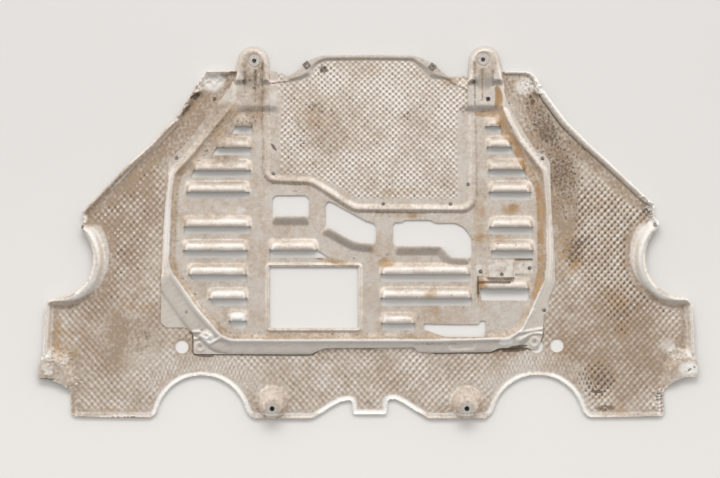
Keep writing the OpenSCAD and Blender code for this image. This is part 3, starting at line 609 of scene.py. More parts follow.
def outer_skin(p):
    """Relief, wear and painted light of the outer sheet: ribs that lean one way on each wing, flattened on the rims,
    round the cones and holes, under the plate and on the plain spots; painted highlights on the rims' lit slopes,
    along the lower edge and on the rib crests, painted lit bands inside the side cuts with painted shade round their
    foot, a painted shade line on the upper right rims, and a painted shadow under the plate's lower edge."""
    d, _, size = nearest(p, OUTER_RIM, 60)
    past = np.abs(d) - size[:, 0]
    x, y = p.T
    margin = 8 + 14 * ease(y, 15, 60) + 8 * ease(np.abs(x), 520, 540) + 5 * ease(-y, 215, 240)
    room = np.where(np.abs(d) < FAR, ease(past, margin - 9, margin), 1)
    low = ease(-y, -60, 140)
    lean = np.where(x < 0, 0.5 + (0.05 + 0.1 * ease(-x, 420, 480)) * low, 0.5 - 0.13 * ease(-y, -150, -30))
    for cx, cy in CONES:
        room *= ease(np.hypot(x - cx, y - cy - 4), CONE_FOOT_R - 1, CONE_FOOT_R + 7)
    for cx, cy in ACCESS_HOLES:
        room *= ease(np.hypot(x - cx, y - cy), ACCESS_R + 1, ACCESS_R + 6)
    under = np.vstack([PLATE_OUTLINE, PLATE_OUTLINE[:1]])
    plate = nearest(p, under, 6)[0]
    covered = inside(p, PLATE_OUTLINE)
    room *= np.where(covered, 0, ease(np.abs(plate), 0.5, 4))
    # A painted shadow on this sheet along the plate's lower edge, which stands off it; it adds to dirt_and_shade.
    gap = np.exp(-((plate / 2.6) ** 2)) * (y < -170) * ease(np.abs(x - 12), 92, 102)
    for sx, sy, rx, ry, turn, share in PLAIN_SPOTS:
        room *= 1 - share * blob(p, sx, sy, rx, ry, turn)
    for area in PLAIN_AREAS:
        area = np.array(area + area[:1], float)
        apart = np.abs(nearest(p, area, 14)[0])
        room *= np.where(inside(p, area[:-1]), 0, ease(apart, 0, 12))
    # The bands inside the side cuts' rims are painted lighter, as lit slopes (painted_lit_band), with painted shade
    # round their foot (collar); the ribs stop short of them.
    zone = ease(y, -125, -108) * (1 - ease(y, 8, 24))
    reach = np.min([np.hypot((x - bx) / rx, (y - by) / ry) for bx, by, rx, ry in SIDE_BANDS], 0)
    painted_lit_band = zone * (1 - ease(reach, 0.92, 1.04))
    collar = zone * ease(reach, 0.92, 1.04) * (1 - ease(reach, 1.2, 1.45))
    room *= 1 - zone * (1 - ease(reach, 1.05, 1.35))
    drawn = np.zeros(len(p))
    for cx, cy in CUTS:
        around = 1 - ease(np.hypot(x - cx, y - cy), 104, 130)
        drawn = np.maximum(drawn, around * ease(y, -285, -245))
    height = (1 - drawn) * ribs(p, lean) + drawn * ribs(p, 0.5, (0.155, 0.06))
    uneven = wander(p, 7, 5, 24)
    tall = (0.88 + 0.06 * np.tanh(x / 150)) * (1 + 0.3 * wander(p, 60, 9))
    rough = np.where(y > 0, 0.26, 0.16)
    relief = tall * height * room + rough * uneven * np.where(covered, 0, 1 - 0.6 * room)
    busy = blob(p, -440, 10, 110, 170, -25, 0.6) + blob(p, 430, -40, 120, 190, 15, 0.6)
    wear = np.clip(0.5 + (0.5 + 0.5 * busy) * height * room + 0.25 * uneven * (1 - room) + 0.3 * drawn, 0, 1)
    rim = 1 - ease(past, -6, 1)
    grime_and_shade = 0.5 * blob(p, -430, 60, 90, 70, 45) + 0.4 * (1 - room) * (1 - rim)
    grime_and_shade += np.where(x < 0, 0.8, 0.1) * busy + 1.7 * blob(p, 420, -190, 130, 120, 0, 0.7)
    grime_and_shade += 0.5 * blob(p, -430, -180, 130, 130, 0, 0.7)
    band = np.where(y > 20, ease(d, 13, 17) * (1 - ease(d, 24, 32)), 0)
    grime_and_shade += 0.5 * band - 0.35 * ease(-y, 195, 215) * (np.abs(x) < 420)
    stain = 0.1 * band + 0.15 * ease(wander(p, 120, 6), 0.3, 1)
    stain += 0.3 * blob(p, 400, 0, 110, 190, 15, 0.8)
    spotted = 0.6 * ease(wander(p, 30, 7), 0.1, 1.2) + 0.8 * blob(p, 420, -20, 110, 190, 15, 0.8)
    foot = np.abs(d) / np.maximum(size[:, 0], 1)
    # A painted shade line along the inner fold of the upper right rims.
    line = 0.75 * np.exp(-(((foot - 0.84) / 0.1) ** 2)) * ease(y, 25, 45) * (x > 0)
    flecks = wander(p, 6.5, 31, 20)
    bare = (1 - room) * ease(past, 0, 5) * (y > 20) * np.where(x < 0, 0.6, 1)
    ring = np.hypot((x - 391) / 33, (y + 252) / 31)
    stain += 0.6 * np.exp(-(((ring - 1) / 0.08) ** 2)) * ease(x, 360, 400)
    # Painted highlights in pale_and_highlight: on the lit slopes of the side cuts' rims (sides), on the outer part of
    # the upper rims (upper), and on the painted lit bands.
    sides = ease(np.abs(x), 455, 470) * ease(y, -122, -110) * (1 - ease(y, 8, 16))
    upper = ease(y, 25, 45) * (1 - ease(foot, 0.5, 0.7)) * np.where(x < 0, 0.2, 0.7)
    pale_and_highlight = sides * np.exp(-(((foot - 0.45) / 0.3) ** 2)) + upper
    pale_and_highlight += 0.5 * painted_lit_band * ease(foot, 0.3, 0.8)
    grime_and_shade += 0.9 * collar - painted_lit_band
    relief += 1.2 * zone * (1 - ease(reach, 0.6, 1.05)) * ease(foot, 0.5, 1)
    # Painted highlights along the lower rims and the straight lower edge.
    straight = ease(-y, 306, 311) * (np.abs(x) > 40)
    low_edge = ease(-y, 235, 245) * (np.abs(x) < 500) * (0.8 - 0.5 * straight)
    pale_and_highlight += low_edge * (1 - ease(np.abs(d), 6, 10)) + straight * np.exp(-(((np.abs(d) - 9) / 1.2) ** 2))
    # Painted glints on the rib crests of the busy wing areas, pale flecks of bare metal, and lighter along the lower
    # edge and on a patch of the right wing.
    pale_and_highlight += 0.9 * busy * ease(height, 0.3, 0.9) * room * ease(wander(p, 25, 8), -0.6, 0.8)
    pale_and_highlight += 0.32 * bare * ease(flecks, 0.4, 1.4) + 0.2 * ease(-y, 200, 220) * (np.abs(x) < 400)
    pale_and_highlight += 0.15 * blob(p, 430, 60, 120, 160, 15, 0.7)
    # A painted highlight on the rims beside the side cuts' lower parts, with a brown stain beside the left one and no
    # ribs there.
    side = ease(np.abs(x), 515, 530) * ease(y, -225, -210) * (1 - ease(y, -125, -115))
    pale_and_highlight += 0.45 * side * (1 - ease(np.abs(d), 12, 16))
    stain += 0.4 * side * ease(np.abs(d), 15, 19) * (1 - ease(np.abs(d), 26, 34)) * (x < 0)
    room *= 1 - side * (1 - ease(np.abs(d), 22, 30))
    # Darker in the ribs' hollows and inside the stained ring.
    pocket = np.clip(-0.1 - height, 0, 1) * room * (spotted + 0.6 * busy + 1.1 * (ring < 1))
    return relief, marked(p, {"wear": wear, "grime_and_shade": grime_and_shade, "stain": stain, "clean": rim,
                              "dirt_and_shade": pocket + line + 0.15 * collar + 1.3 * gap + 0.6 * bare * ease(-flecks, 0.4, 1.4),
                              "pale": pale_and_highlight}, OUTER_MARKS)


# The louvred plate


def tab_path(tab):
    """The edge of a tongue from its foot's right end round to its left end."""
    x, y, left, right = tab
    a, b = x + TAB_R + right, x - TAB_R - left
    path = [(a, 204), (a, 262), (a - 2, 270)] + arc(x, y, TAB_R, 8, 172, 16)
    return path + [(b + 2, 270), (b, 262), (b, 204)]


# The pale marks are painted highlights on lit facets, slopes, creases and the tongues; the dirt_and_shade mark at
# (256, -195) is a painted shadow under the lower flange, and those at y 258 and near (-205, 210) are painted shade
# across the tongues' steps.
PLATE_MARKS = [
        ("dirt_and_shade", -204, 190, 22, 20, 0, 0.35), ("grime_and_shade", -197, 192, 44, 30, 0, 1.0),
    ("dirt_and_shade", -205, 212, 20, 8, 0, 0.2), ("dirt_and_shade", -168, 210, 9, 7, 0, 0.2), ("grime_and_shade", -200, 230, 40, 40, 0, 0.8),
    ("pale", -272, -179, 13, 11, -30, 1.6), ("grime_and_shade", -266, -164, 12, 8, -40, 0.6),
    ("pale", 236, -186, 15, 8, 10, 1.4), ("pale", 260, -181, 14, 5, 20, 1.2),
    ("pale", -224, -141, 19, 8, 0, 1.2), ("pale", -236, -102, 34, 9, 0, 0.5),
    ("pale", -228, 38, 34, 10, 0, 0.6), ("grime_and_shade", -255, 26, 70, 6, 0, 0.5),
    ("dirt_and_shade", 256, -195, 22, 4, 8, 1.6), ("grime_and_shade", 160, -193, 30, 10, 0, 0.4),
    ("pale", -343, 10, 7, 70, 0, 0.7),
    ("dirt_and_shade", -216, 258, 10, 5, 0, 0.4), ("dirt_and_shade", -171, 258, 5, 5, 0, 0.35),
    ("dirt_and_shade", 178, 258, 8, 5, 0, 0.4), ("dirt_and_shade", 222, 258, 8, 5, 0, 0.35),
    ("stain", -193, 205, 40, 16, 0, 0.25), ("dirt_and_shade", -205, 208, 20, 6, 0, 0.3),
    ("grime_and_shade", -196, 262, 38, 66, 0, 1.2), ("clean", -196, 255, 38, 76, 0, -0.9),
    ("dirt_and_shade", -200, 285, 32, 40, 0, 0.2), ("pale", -218, 264, 8, 16, 15, 0.35),
    ("pale", -186.5, 266, 4, 16, 0, 0.4), ("grime_and_shade", 199, 290, 34, 34, 0, 0.9),
    ("clean", 199, 290, 34, 34, 0, -0.4),
    ("dirt_and_shade", -194, 247, 4, 2, 0, 1), ("stain", 214, 207, 30, 12, 0, 0.7),
    ("dirt_and_shade", 205, 228, 6, 6, 0, 1), ("dirt_and_shade", -248, 145, 3, 2, 30, 1.3),
    ("dirt_and_shade", -223, 140, 3, 2.5, 0, 1.3), ("dirt_and_shade", -276, 140, 4, 1.6, 20, 1.2),
    ("stain", 108, -130, 22, 60, 0, 0.6), ("stain", -60, -48, 60, 7, -12, 0.8),
    ("stain", 30, -50, 22, 14, 0, 0.7), ("stain", 60, 32, 60, 10, 0, 0.5),
    ("stain", 205, -10, 60, 12, 0, 0.5), ("stain", 190, 30, 14, 60, 0, 0.4),
    ("stain", 245, 40, 26, 14, 0, 0.6), ("dirt_and_shade", -24, -44, 3.5, 3, 0, 0.6), ("dirt_and_shade", 35, -37, 8, 6, 0, 0.4), ("dirt_and_shade", -125, 71, 7, 3, 0, 0.5),
    ("stain", -40, 30, 40, 8, -30, 0.7), ("clean", -303, -120, 40, 22, -54, 1),
    ("stain", -230, 90, 50, 8, 0, 0.35), ("stain", -180, -30, 10, 60, 0, 0.4),
    ("dirt_and_shade", 188, -92, 3, 30, 0, 0.9), ("stain", 195, -100, 14, 40, 0, 0.8),
    ("dirt_and_shade", 120, -190, 70, 3, 0, 0.5),
    ("stain", 178, 110, 9, 60, 0, 0.5), ("clean", -200, 70, 60, 8, 0, 0.5),
    ("grime_and_shade", 236, 130, 34, 60, 20, 0.3), ("pale", 240, 146, 30, 5, 0, 0.5),
    ("pale", 222, 184, 14, 3, 0, 0.5), ("pale", -236, 24, 26, 8, 0, 0.5),
]
# Painted shadow lines beside the bracket: x at both ends, y and half width
BRACKET_SHADOWS = [(189, 243, -85, 1.8), (250, 281, -45.5, 1.8)]
# A brown run from the right tab down along the ridge: x, y and half width
RUST_RUN = [(186, 203, 5), (210, 203, 6), (222, 206, 9), (224, 236, 7), (219, 250, 4), (224, 236, 7),
            (223, 206, 9), (226, 184, 9), (231, 175, 9), (248, 154, 7), (259, 131, 7), (269, 114, 8),
            (281, 95, 7), (289, 79, 6), (294, 50, 6), (294, -70, 5), (283, -110, 5)]
PLATE_RINGS = [np.vstack([
    soften(PLATE_EDGE, 4),
    tab_path(TABS[1])[1:-1],
    PLATE_INNER_EDGE,
    tab_path(TABS[0])[1:-1],
])]
PLATE_RINGS += [soften([(s[0], s[4]), (s[1], s[5]), (s[2], s[5]), (s[3], s[4])], 2.5, True)
                for s in SLOTS]
PLATE_RINGS += [soften(w, 2.5, True) for w in WINDOWS]
PLATE_RINGS += [soften(PATCH_CUT, 2, True)]
PLATE_RINGS += [soften([(-168.4, -163.4), (-16.6, -163.4), (-16.6, -58.6), (-168.4, -58.6)], 3, True)]
PLATE_RINGS += [circle(x, y, TAB_HOLE_R) for x, y in TAB_HOLES]
PLATE_RINGS += [circle(x, y, r) for x, y, r in TAB_SMALL_HOLES]
PLATE_RINGS += [circle(x, y, CORNER_HOLE_R) for x, y in CORNER_SCREWS]


def round_end(distance, width):
    """0 at an end and 1 at `width` from it, as a quarter of an ellipse."""
    return np.sqrt(1 - (1 - np.clip(distance / width, 0, 1)) ** 2)


def hoods(p):
    """Louvre hoods: the section back from the lip, times an eased end at either side that starts a
    little past the slot and runs out beside it."""
    z = np.zeros(len(p))
    for x0, _, _, x1, y0, _ in SLOTS:
        v = (p[:, 1] - y0) / HOOD_D
        near = (v > -0.45) & (v < 1) & (p[:, 0] > x0 - 4) & (p[:, 0] < x1 + 4)
        x, v = p[near, 0], v[near]
        end = ease(np.minimum(x - x0, x1 - x), -4, HOOD_END + 3 * v.clip(0))
        beside = np.where((x < x0) | (x > x1), 1 - ease(-v, 0, 0.42), 0)
        end = np.where(v < -0.01, end * beside, end)
        z[near] = np.maximum(z[near], HOOD_H * curve(v.clip(0, 1), HOOD_SECTION) * end)
    return z


def scoops(p):
    """Scoops below the windows: their section out from the edge, with rounded ends."""
    z = np.zeros(len(p))
    for path in SCOOPS:
        line = soften(path, 6)
        d, place, _ = nearest(p, line, SCOOP_D + 1)
        total = np.linalg.norm(np.diff(line, axis=0), axis=1).sum()
        end = round_end(np.minimum(place, total - place), 8)
        u = d / SCOOP_D
        z = np.maximum(z, np.where((u > -0.02) & (u < 1),
                                   SCOOP_H * curve(np.clip(u, 0, 1), SCOOP_SECTION) * end, 0))
    return z


def ridge(p):
    """The rim ridge: its section out to the edge and in to the louvres, over its own widths."""
    d, _, values = nearest(p, soften(RIDGE, 7), 28)
    out, share = values.T
    width = np.where(d < 0, out, RIDGE_WALL * (0.4 + 0.6 * share))
    u = d / np.maximum(width, 1)
    return np.where(np.abs(u) < 1, RIDGE_H * share * curve(np.clip(u, -1, 1), RIDGE_SECTION), 0)


def window_frame(p):
    """The raised frame: its section over the distance in from the edge of a rounded box."""
    low, high = np.array(FRAME_BOX, float)
    q = np.abs(p - (low + high) / 2) - (high - low) / 2 + 7.5
    out = np.linalg.norm(np.maximum(q, 0), axis=1) + np.minimum(q.max(1), 0) - 7.5
    u = np.clip(-out, 0, 6.6)
    return FRAME_H * curve(u, FRAME_SECTION)


def tongues(p):
    """The two mounting tabs: the side section's height times the flange's section inwards, less
    the round pockets and the pressed grooves."""
    z = np.zeros(len(p))
    for tab in TABS:
        path = np.array(tab_path(tab))
        d = nearest(p, np.vstack([path, path[:1]]), 50)[0]
        within = inside(p, path)
        wide = TAB_FLANGE + 20 * (1 - ease(p[:, 1], 225, 262))
        u = np.clip(np.abs(nearest(p, path, 20)[0]) / wide, 0, 1)
        inner = (p[:, 0] - tab[0]) * tab[0] < 0
        u = np.where(inner, u + (1 - u) * (1 - ease(p[:, 1], 248, 266)), u)
        middle = 1 - ease(np.abs(p[:, 0] - tab[0]), 9, 20)
        stretched = np.where(p[:, 1] > 238, np.interp(p[:, 1], [238, 280, 330], [249, 264, 330]), p[:, 1])
        y = p[:, 1] + (stretched - p[:, 1]) * middle
        tall = curve(np.clip(y, 200, 330), TAB_SIDE)
        on_edge = np.abs(d) < 0.05
        z = np.where(within | (on_edge & (p[:, 1] > 240)), tall * curve(u, TAB_FLANGE_SECTION), z)
    for x, y in TAB_HOLES:
        r = np.hypot(p[:, 0] - x, p[:, 1] - y)
        z -= POCKET_D * (1 - ease(r, POCKET_R - 0.8, POCKET_R + 0.8))
    for x, y0, y1 in TAB_GROOVES:
        d = np.hypot(p[:, 0] - x, np.maximum(np.maximum(y0 - p[:, 1], p[:, 1] - y1), 0))
        z -= 1.3 * np.exp(-((d / 1.9) ** 2))
    return z


# Creases pressed into the plate's lower corners, and swellings: x, y, two half widths, turn, height
CREASES = [
    [(-285, -176), (-271, -190), (-253, -180)], [(-298, -169), (-289, -169)],
    [(-299, -181), (-291, -181)], [(261, -170), (299, -164)],
    [(259, -184), (275, -174), (288, -171), (301, -173)], [(282, -132), (273, -146), (261, -170)],
]
BUMPS = [(-273, -176, 14, 11, -40, 3), (-284, -167, 4, 12, 30, -1), (236, -187, 16, 8, 10, 1),
         (258, -180, 13, 5, 20, 1.2)]
# A shallow field pressed into the lower flange
FIELD = [(133, -186), (186, -186), (182, -200), (141, -202)]
FIELD_D = 0.6


def plate_form(p):
    """Height of the louvred plate: its level, the larger of ridge, hoods, scoops and frame, the tongues, the seats of
    the corner screws, the swellings and creases of its lower corners, and the shallow field in its lower flange."""
    z = np.maximum(np.maximum(ridge(p), hoods(p)), np.maximum(scoops(p), window_frame(p)))
    z = PLATE_TOP + z + tongues(p)
    for x, y in CORNER_SCREWS:
        r = np.hypot(p[:, 0] - x, p[:, 1] - y)
        z += 0.7 * (1 - ease(r, 6.5, 11)) - 0.5 * (1 - ease(r, 4.5, 6.5))
    for x, y, rx, ry, turn, tall in BUMPS:
        z += tall * blob(p, x, y, rx, ry, turn, 0.8) * (1 - 0.5 * np.abs(wander(p, 10, 15)))
    for path in CREASES:
        z += 1.4 * np.exp(-((nearest(p, soften(path, 3), 8)[0] / 2) ** 2))
    edge = nearest(p, FIELD + FIELD[:1], 4)[0]
    return z - FIELD_D * np.where(inside(p, FIELD), ease(np.abs(edge), 0, 3.5), 0)


def plate_skin(p):
    """Soiling, wear and painted light of the plate: smooth, cleaner on its ridge and lower flange, with painted
    highlights on the ridge, the hoods' lit faces, the creases and the lower flange, and painted shade in the tabs'
    grooves, along the panel's edge and beside the bracket.
    """
    d = nearest(p, soften(RIDGE, 7), 30)[0]
    outer = np.where(np.abs(d) < FAR, 1 - ease(d, -3, 2), 0)
    outside = ~inside(p, np.array(RIDGE)[:, :2])
    clean = np.where(outside, 1, outer)
    z = np.maximum(hoods(p), scoops(p))
    wear = np.clip(0.4 + z / 30, 0, 1)
    wall = np.where(np.abs(d) < FAR, ease(d, 1, 4) * (1 - ease(d, 9, 16)), 0)
    run, _, broad = nearest(p, soften(RUST_RUN, 8), 30)
    stain = 1.3 * (1 - ease(np.abs(run) / np.maximum(broad[:, 0], 1), 0.55, 1.15)) + 0.25 * wall * (p[:, 1] > -150)
    spotted = np.exp(-((wander(p, 9, 12) - 1.5) / 0.5) ** 2)
    foot = np.where(np.abs(d) < FAR, np.exp(-(((d - 12) / 3) ** 2)), 0)
    flecks = ease(-wander(p, 7, 31, 20), 0.7, 1.6) * np.where(p[:, 0] > 80, 0.45, 0.3 + 0.1 * ease(p[:, 1], 120, 190))
    dirt_and_shade = (0.3 * spotted + flecks) * (1 - clean)
    dirt_and_shade = dirt_and_shade + (0.15 * wall + 0.2 * foot) * (p[:, 0] < 0) * (p[:, 1] < 100)
    # Dark in the tabs' pressed grooves: painted shade together with soiling; less clean there.
    for x, y0, y1 in TAB_GROOVES:
        gap = np.hypot(p[:, 0] - x, np.maximum(np.maximum(y0 - p[:, 1], p[:, 1] - y1), 0))
        dirt_and_shade = np.maximum(dirt_and_shade, 0.5 * np.exp(-((gap / (3.6 if y1 > 280 else 3)) ** 2)))
        clean = clean * (1 - np.exp(-((gap / 3.5) ** 2)))
    relief = (0.12 * wander(p, 26, 11) + 0.05 * wander(p, 8, 13, 16)) * ease(np.abs(d), 2, 8)
    # Painted highlights in pale_and_highlight: on the ridge's crest, partly worn metal; on the hoods' lit faces, more
    # on the lower hoods (bright); and on the ridge's outer slope. On the upper left ridge (dull) they are taken away
    # and the plate is darkened; the creases and the lower flange get painted highlights too.
    crest = np.where(np.abs(d) < FAR, np.exp(-(((d - 0.3) / 1.3) ** 2)), 0)
    raised = z / HOOD_H
    bright = 0.25 + 0.75 * ease(-p[:, 1], -110, 60) * (1 - 0.45 * ease(p[:, 0], 150, 200))
    slope = ease(raised, 0.45, 0.82) * (1 - 0.6 * ease(raised, 0.88, 0.96)) * (z > scoops(p))
    pale_and_highlight = (0.75 + 0.4 * (p[:, 1] < -90)) * crest + bright * slope * (0.95 + 0.35 * wander(p, 40, 14))
    pale_and_highlight += 0.4 * np.where(np.abs(d) < FAR, ease(-d, 0, 2) * (1 - ease(-d, 5, 9)), 0)
    dull = 0.8 * ease(p[:, 1], 95, 125) * (1 - ease(p[:, 1], 215, 230)) * ease(-p[:, 0], 215, 225)
    clean, pale_and_highlight = clean * (1 - dull), pale_and_highlight * (1 - dull) - 0.2 * dull
    dirt_and_shade = dirt_and_shade + 0.25 * dull
    for path in CREASES:
        pale_and_highlight = pale_and_highlight + np.exp(-((nearest(p, soften(path, 3), 6)[0] / 1.7) ** 2))
    pale_and_highlight = pale_and_highlight + 0.3 * ease(-p[:, 1], 184, 190)
    # Painted shade on the plate along the panel's edge.
    seam = nearest(p, PANEL_EDGE, 12)[0]
    dirt_and_shade = np.maximum(dirt_and_shade, 0.45 * np.exp(-((seam / 2.8) ** 2)))
    # Painted shadow lines beside the bracket.
    for x0, x1, y, half in BRACKET_SHADOWS:
        along = ease(p[:, 0], x0 - 1, x0 + 1) * (1 - ease(p[:, 0], x1 - 1, x1 + 1))
        dirt_and_shade = dirt_and_shade + 1.6 * along * (1 - ease(np.abs(p[:, 1] - y), half - 0.8, half + 0.8))
    stain = stain + (0.1 + 0.3 * ease(wander(p, 45, 33), 0.3, 1.4)) * (1 - clean)
    return relief, marked(p, {"wear": wear, "grime_and_shade": 1.1 * wall + dull, "stain": stain,
                              "clean": clean, "dirt_and_shade": dirt_and_shade, "pale": pale_and_highlight}, PLATE_MARKS)


# The upper panel


PANEL_RIM = soften([(x, y) for x, y in PANEL_EDGE], 10)
EARS_LINE = [(x, y, max(EARS_SLOPE * np.hypot(x - ex, y - ey), 1.5))
             for (x, y), (ex, ey) in zip(EARS_STEP, EARS_EDGE)]
# The pale mark at (-164, 227) is a painted highlight on the border beside the left tongue.
PANEL_MARKS = [
    ("dirt_and_shade", -92, 216, 12, 9, 40, 0.45), ("dirt_and_shade", -80, 208, 8, 8, 0, 0.45),
    ("dirt_and_shade", -120, 186, 8, 12, 0, 0.4), ("stain", -90, 205, 60, 45, -20, 0.35),
    ("dirt_and_shade", -161, 146, 3, 11, 35, 1.2), ("dirt_and_shade", -62, 205, 4, 12, 20, 0.4),
    ("dirt_and_shade", -108, 158, 50, 30, 30, 0.25), ("dirt_and_shade", -76, 279, 11, 10, 0, 0.8),
    ("stain", 70, 70, 70, 10, 0, 0.5), ("stain", -100, 118, 20, 12, 0, 0.5),
    ("clean", 0, 52, 60, 8, 0, 0.5), ("pale", -164, 227, 11, 22, -14, 0.5), ("stain", 140, 258, 20, 12, 0, 0.6),
    ("dirt_and_shade", 70, 200, 22, 16, 30, 0.25), ("clean", 60, 240, 80, 40, 0, 0.5),
    ("grime_and_shade", -60, 180, 80, 60, 0, 0.5), ("stain", 172, 240, 8, 40, 0, 0.5),
]
PANEL_RINGS = [np.vstack([PANEL_RIM, PANEL_SIDES[0], soften(EARS_EDGE, 4), PANEL_SIDES[1]])]


def panel_form(p):
    """Height of the panel: its level, the raised border's section in from the edge, and the ears
    beyond their step."""
    u = np.abs(nearest(p, PANEL_RIM, 17)[0]) / PANEL_BORDER_W
    z = PANEL_TOP + np.where(u < 1, PANEL_BORDER_H * curve(np.clip(u, 0, 1), PANEL_BORDER), 0)
    d, _, width = nearest(p, soften(EARS_LINE, 4), 40)
    z += np.where(np.abs(d) < FAR, EAR_H * ease(-d, -0.5, 1 + np.maximum(width[:, 0], 1)), 0)
    beside = 1 - ease(np.minimum(p[:, 0] + 165, 168 - p[:, 0]), 2, 18)
    return z + 4 * beside * ease(p[:, 1], 204, 219) * (1 - ease(p[:, 1], 250, 262))


def panel_skin(p):
    """Relief, wear and painted light of the panel: small even dimples that stop short of its borders, painted
    highlights on its border strip and the dimples' crests, and painted shade along its edge.
    """
    rim = np.abs(nearest(p, PANEL_RIM, 30)[0])
    step = -nearest(p, soften(EARS_LINE, 4), 12)[0]
    x, y = p.T
    more = 7 * ease(x, -110, -30) * ease(-y, -150, -110)
    room = ease(rim - more, 15, 19) * ease(-step, 0.5, 4) * ease(x, -153, -147) * (1 - ease(x, 149, 155))
    room = np.where(y > 205, ease(-step, 0.5, 4) * ease(x, -150 - 14 * ease(y, 225, 245), -142), room)
    for x, y, _ in PANEL_RIVETS:
        room *= ease(np.hypot(p[:, 0] - x, p[:, 1] - y), 4, 8)
    height = ribs(p, 0.5, (0.0954, 0.0981))
    wear = np.clip(0.5 + 0.5 * height * room, 0, 1)
    uneven = 1 + 0.25 * wander(p, 24, 21)
    # Darker in the dimples' hollows (pocket); painted shade along the panel's edge (edge); painted highlights on the
    # border's strip (strip) and on the dimples' crests towards the right.
    pocket = np.clip(-0.2 - height, 0, 1) * room * ease(wander(p, 22, 22), -0.3, 1.2)
    edge = 1 - ease(rim, 2, 5)
    strip = ease(rim, 3.5, 5.5) * (1 - ease(rim - more, 15, 19)) * np.where(y > 90, 0.25, 1) * ease(x, -130, -100)
    pale_and_highlight = (0.8 + 0.3 * ease(wander(p, 40, 23), -0.5, 0.8)) * strip + 0.25 * ease(height, 0.3, 1) * room * ease(p[:, 0], -80, 20)
    return 0.8 * height * room * uneven, marked(
        p, {"wear": wear, "grime_and_shade": 0.3 * (1 - room) + 0.9 * edge, "stain": 0 * room, "clean": 0.3 * (1 - room),
            "dirt_and_shade": pocket + 0.22 * edge, "pale": pale_and_highlight}, PANEL_MARKS)


# Finishes


def link(tree, kind, inputs=None, **settings):
    """A new node with its settings; an input is a value or another node's output."""
    node = tree.nodes.new(kind)
    for key, value in settings.items():
        setattr(node, key, value)
    for key, value in (inputs or {}).items():
        if isinstance(value, bpy.types.NodeSocket):
            tree.links.new(value, node.inputs[key])
        else:
            node.inputs[key].default_value = value
    return node


def calc(tree, operation, *values, clamp=False):
    """A Math node's output."""
    return link(tree, "ShaderNodeMath", dict(enumerate(values)), operation=operation,
                use_clamp=clamp).outputs[0]


def noise(tree, coords, scale, detail, rough=0.55):
    """The height of a noise texture."""
    inputs = {"Vector": coords, "Scale": scale, "Detail": detail, "Roughness": rough}
    return link(tree, "ShaderNodeTexNoise", inputs).outputs["Fac"]


def spread(tree, value, low, high, to_low=0.0, to_high=1.0):
    """A Map Range node's output, eased between its ends."""
    inputs = {"Value": value, "From Min": low, "From Max": high, "To Min": to_low, "To Max": to_high}
    return link(tree, "ShaderNodeMapRange", inputs, interpolation_type="SMOOTHSTEP").outputs[0]


def blend(tree, share, a, b):
    """A mix of two colours."""
    node = link(tree, "ShaderNodeMix", {0: share}, data_type="RGBA")
    for socket, value in zip((node.inputs[6], node.inputs[7]), (a, b)):
        if isinstance(value, bpy.types.NodeSocket):
            tree.links.new(value, socket)
        else:
            socket.default_value = (*value, 1)
    return node.outputs[2]


def attribute(tree, name):
    """A value that the mesh holds at its points."""
    return link(tree, "ShaderNodeAttribute", attribute_name=name).outputs["Fac"]


def begin(name):
    """A new material: its tree, its shader and the object's own coordinates."""
    material = bpy.data.materials.new(name)
    material.use_nodes = True
    tree = material.node_tree
    shader = tree.nodes["Principled BSDF"]
    coords = tree.nodes.new("ShaderNodeTexCoord").outputs["Object"]
    return material, tree, shader, coords


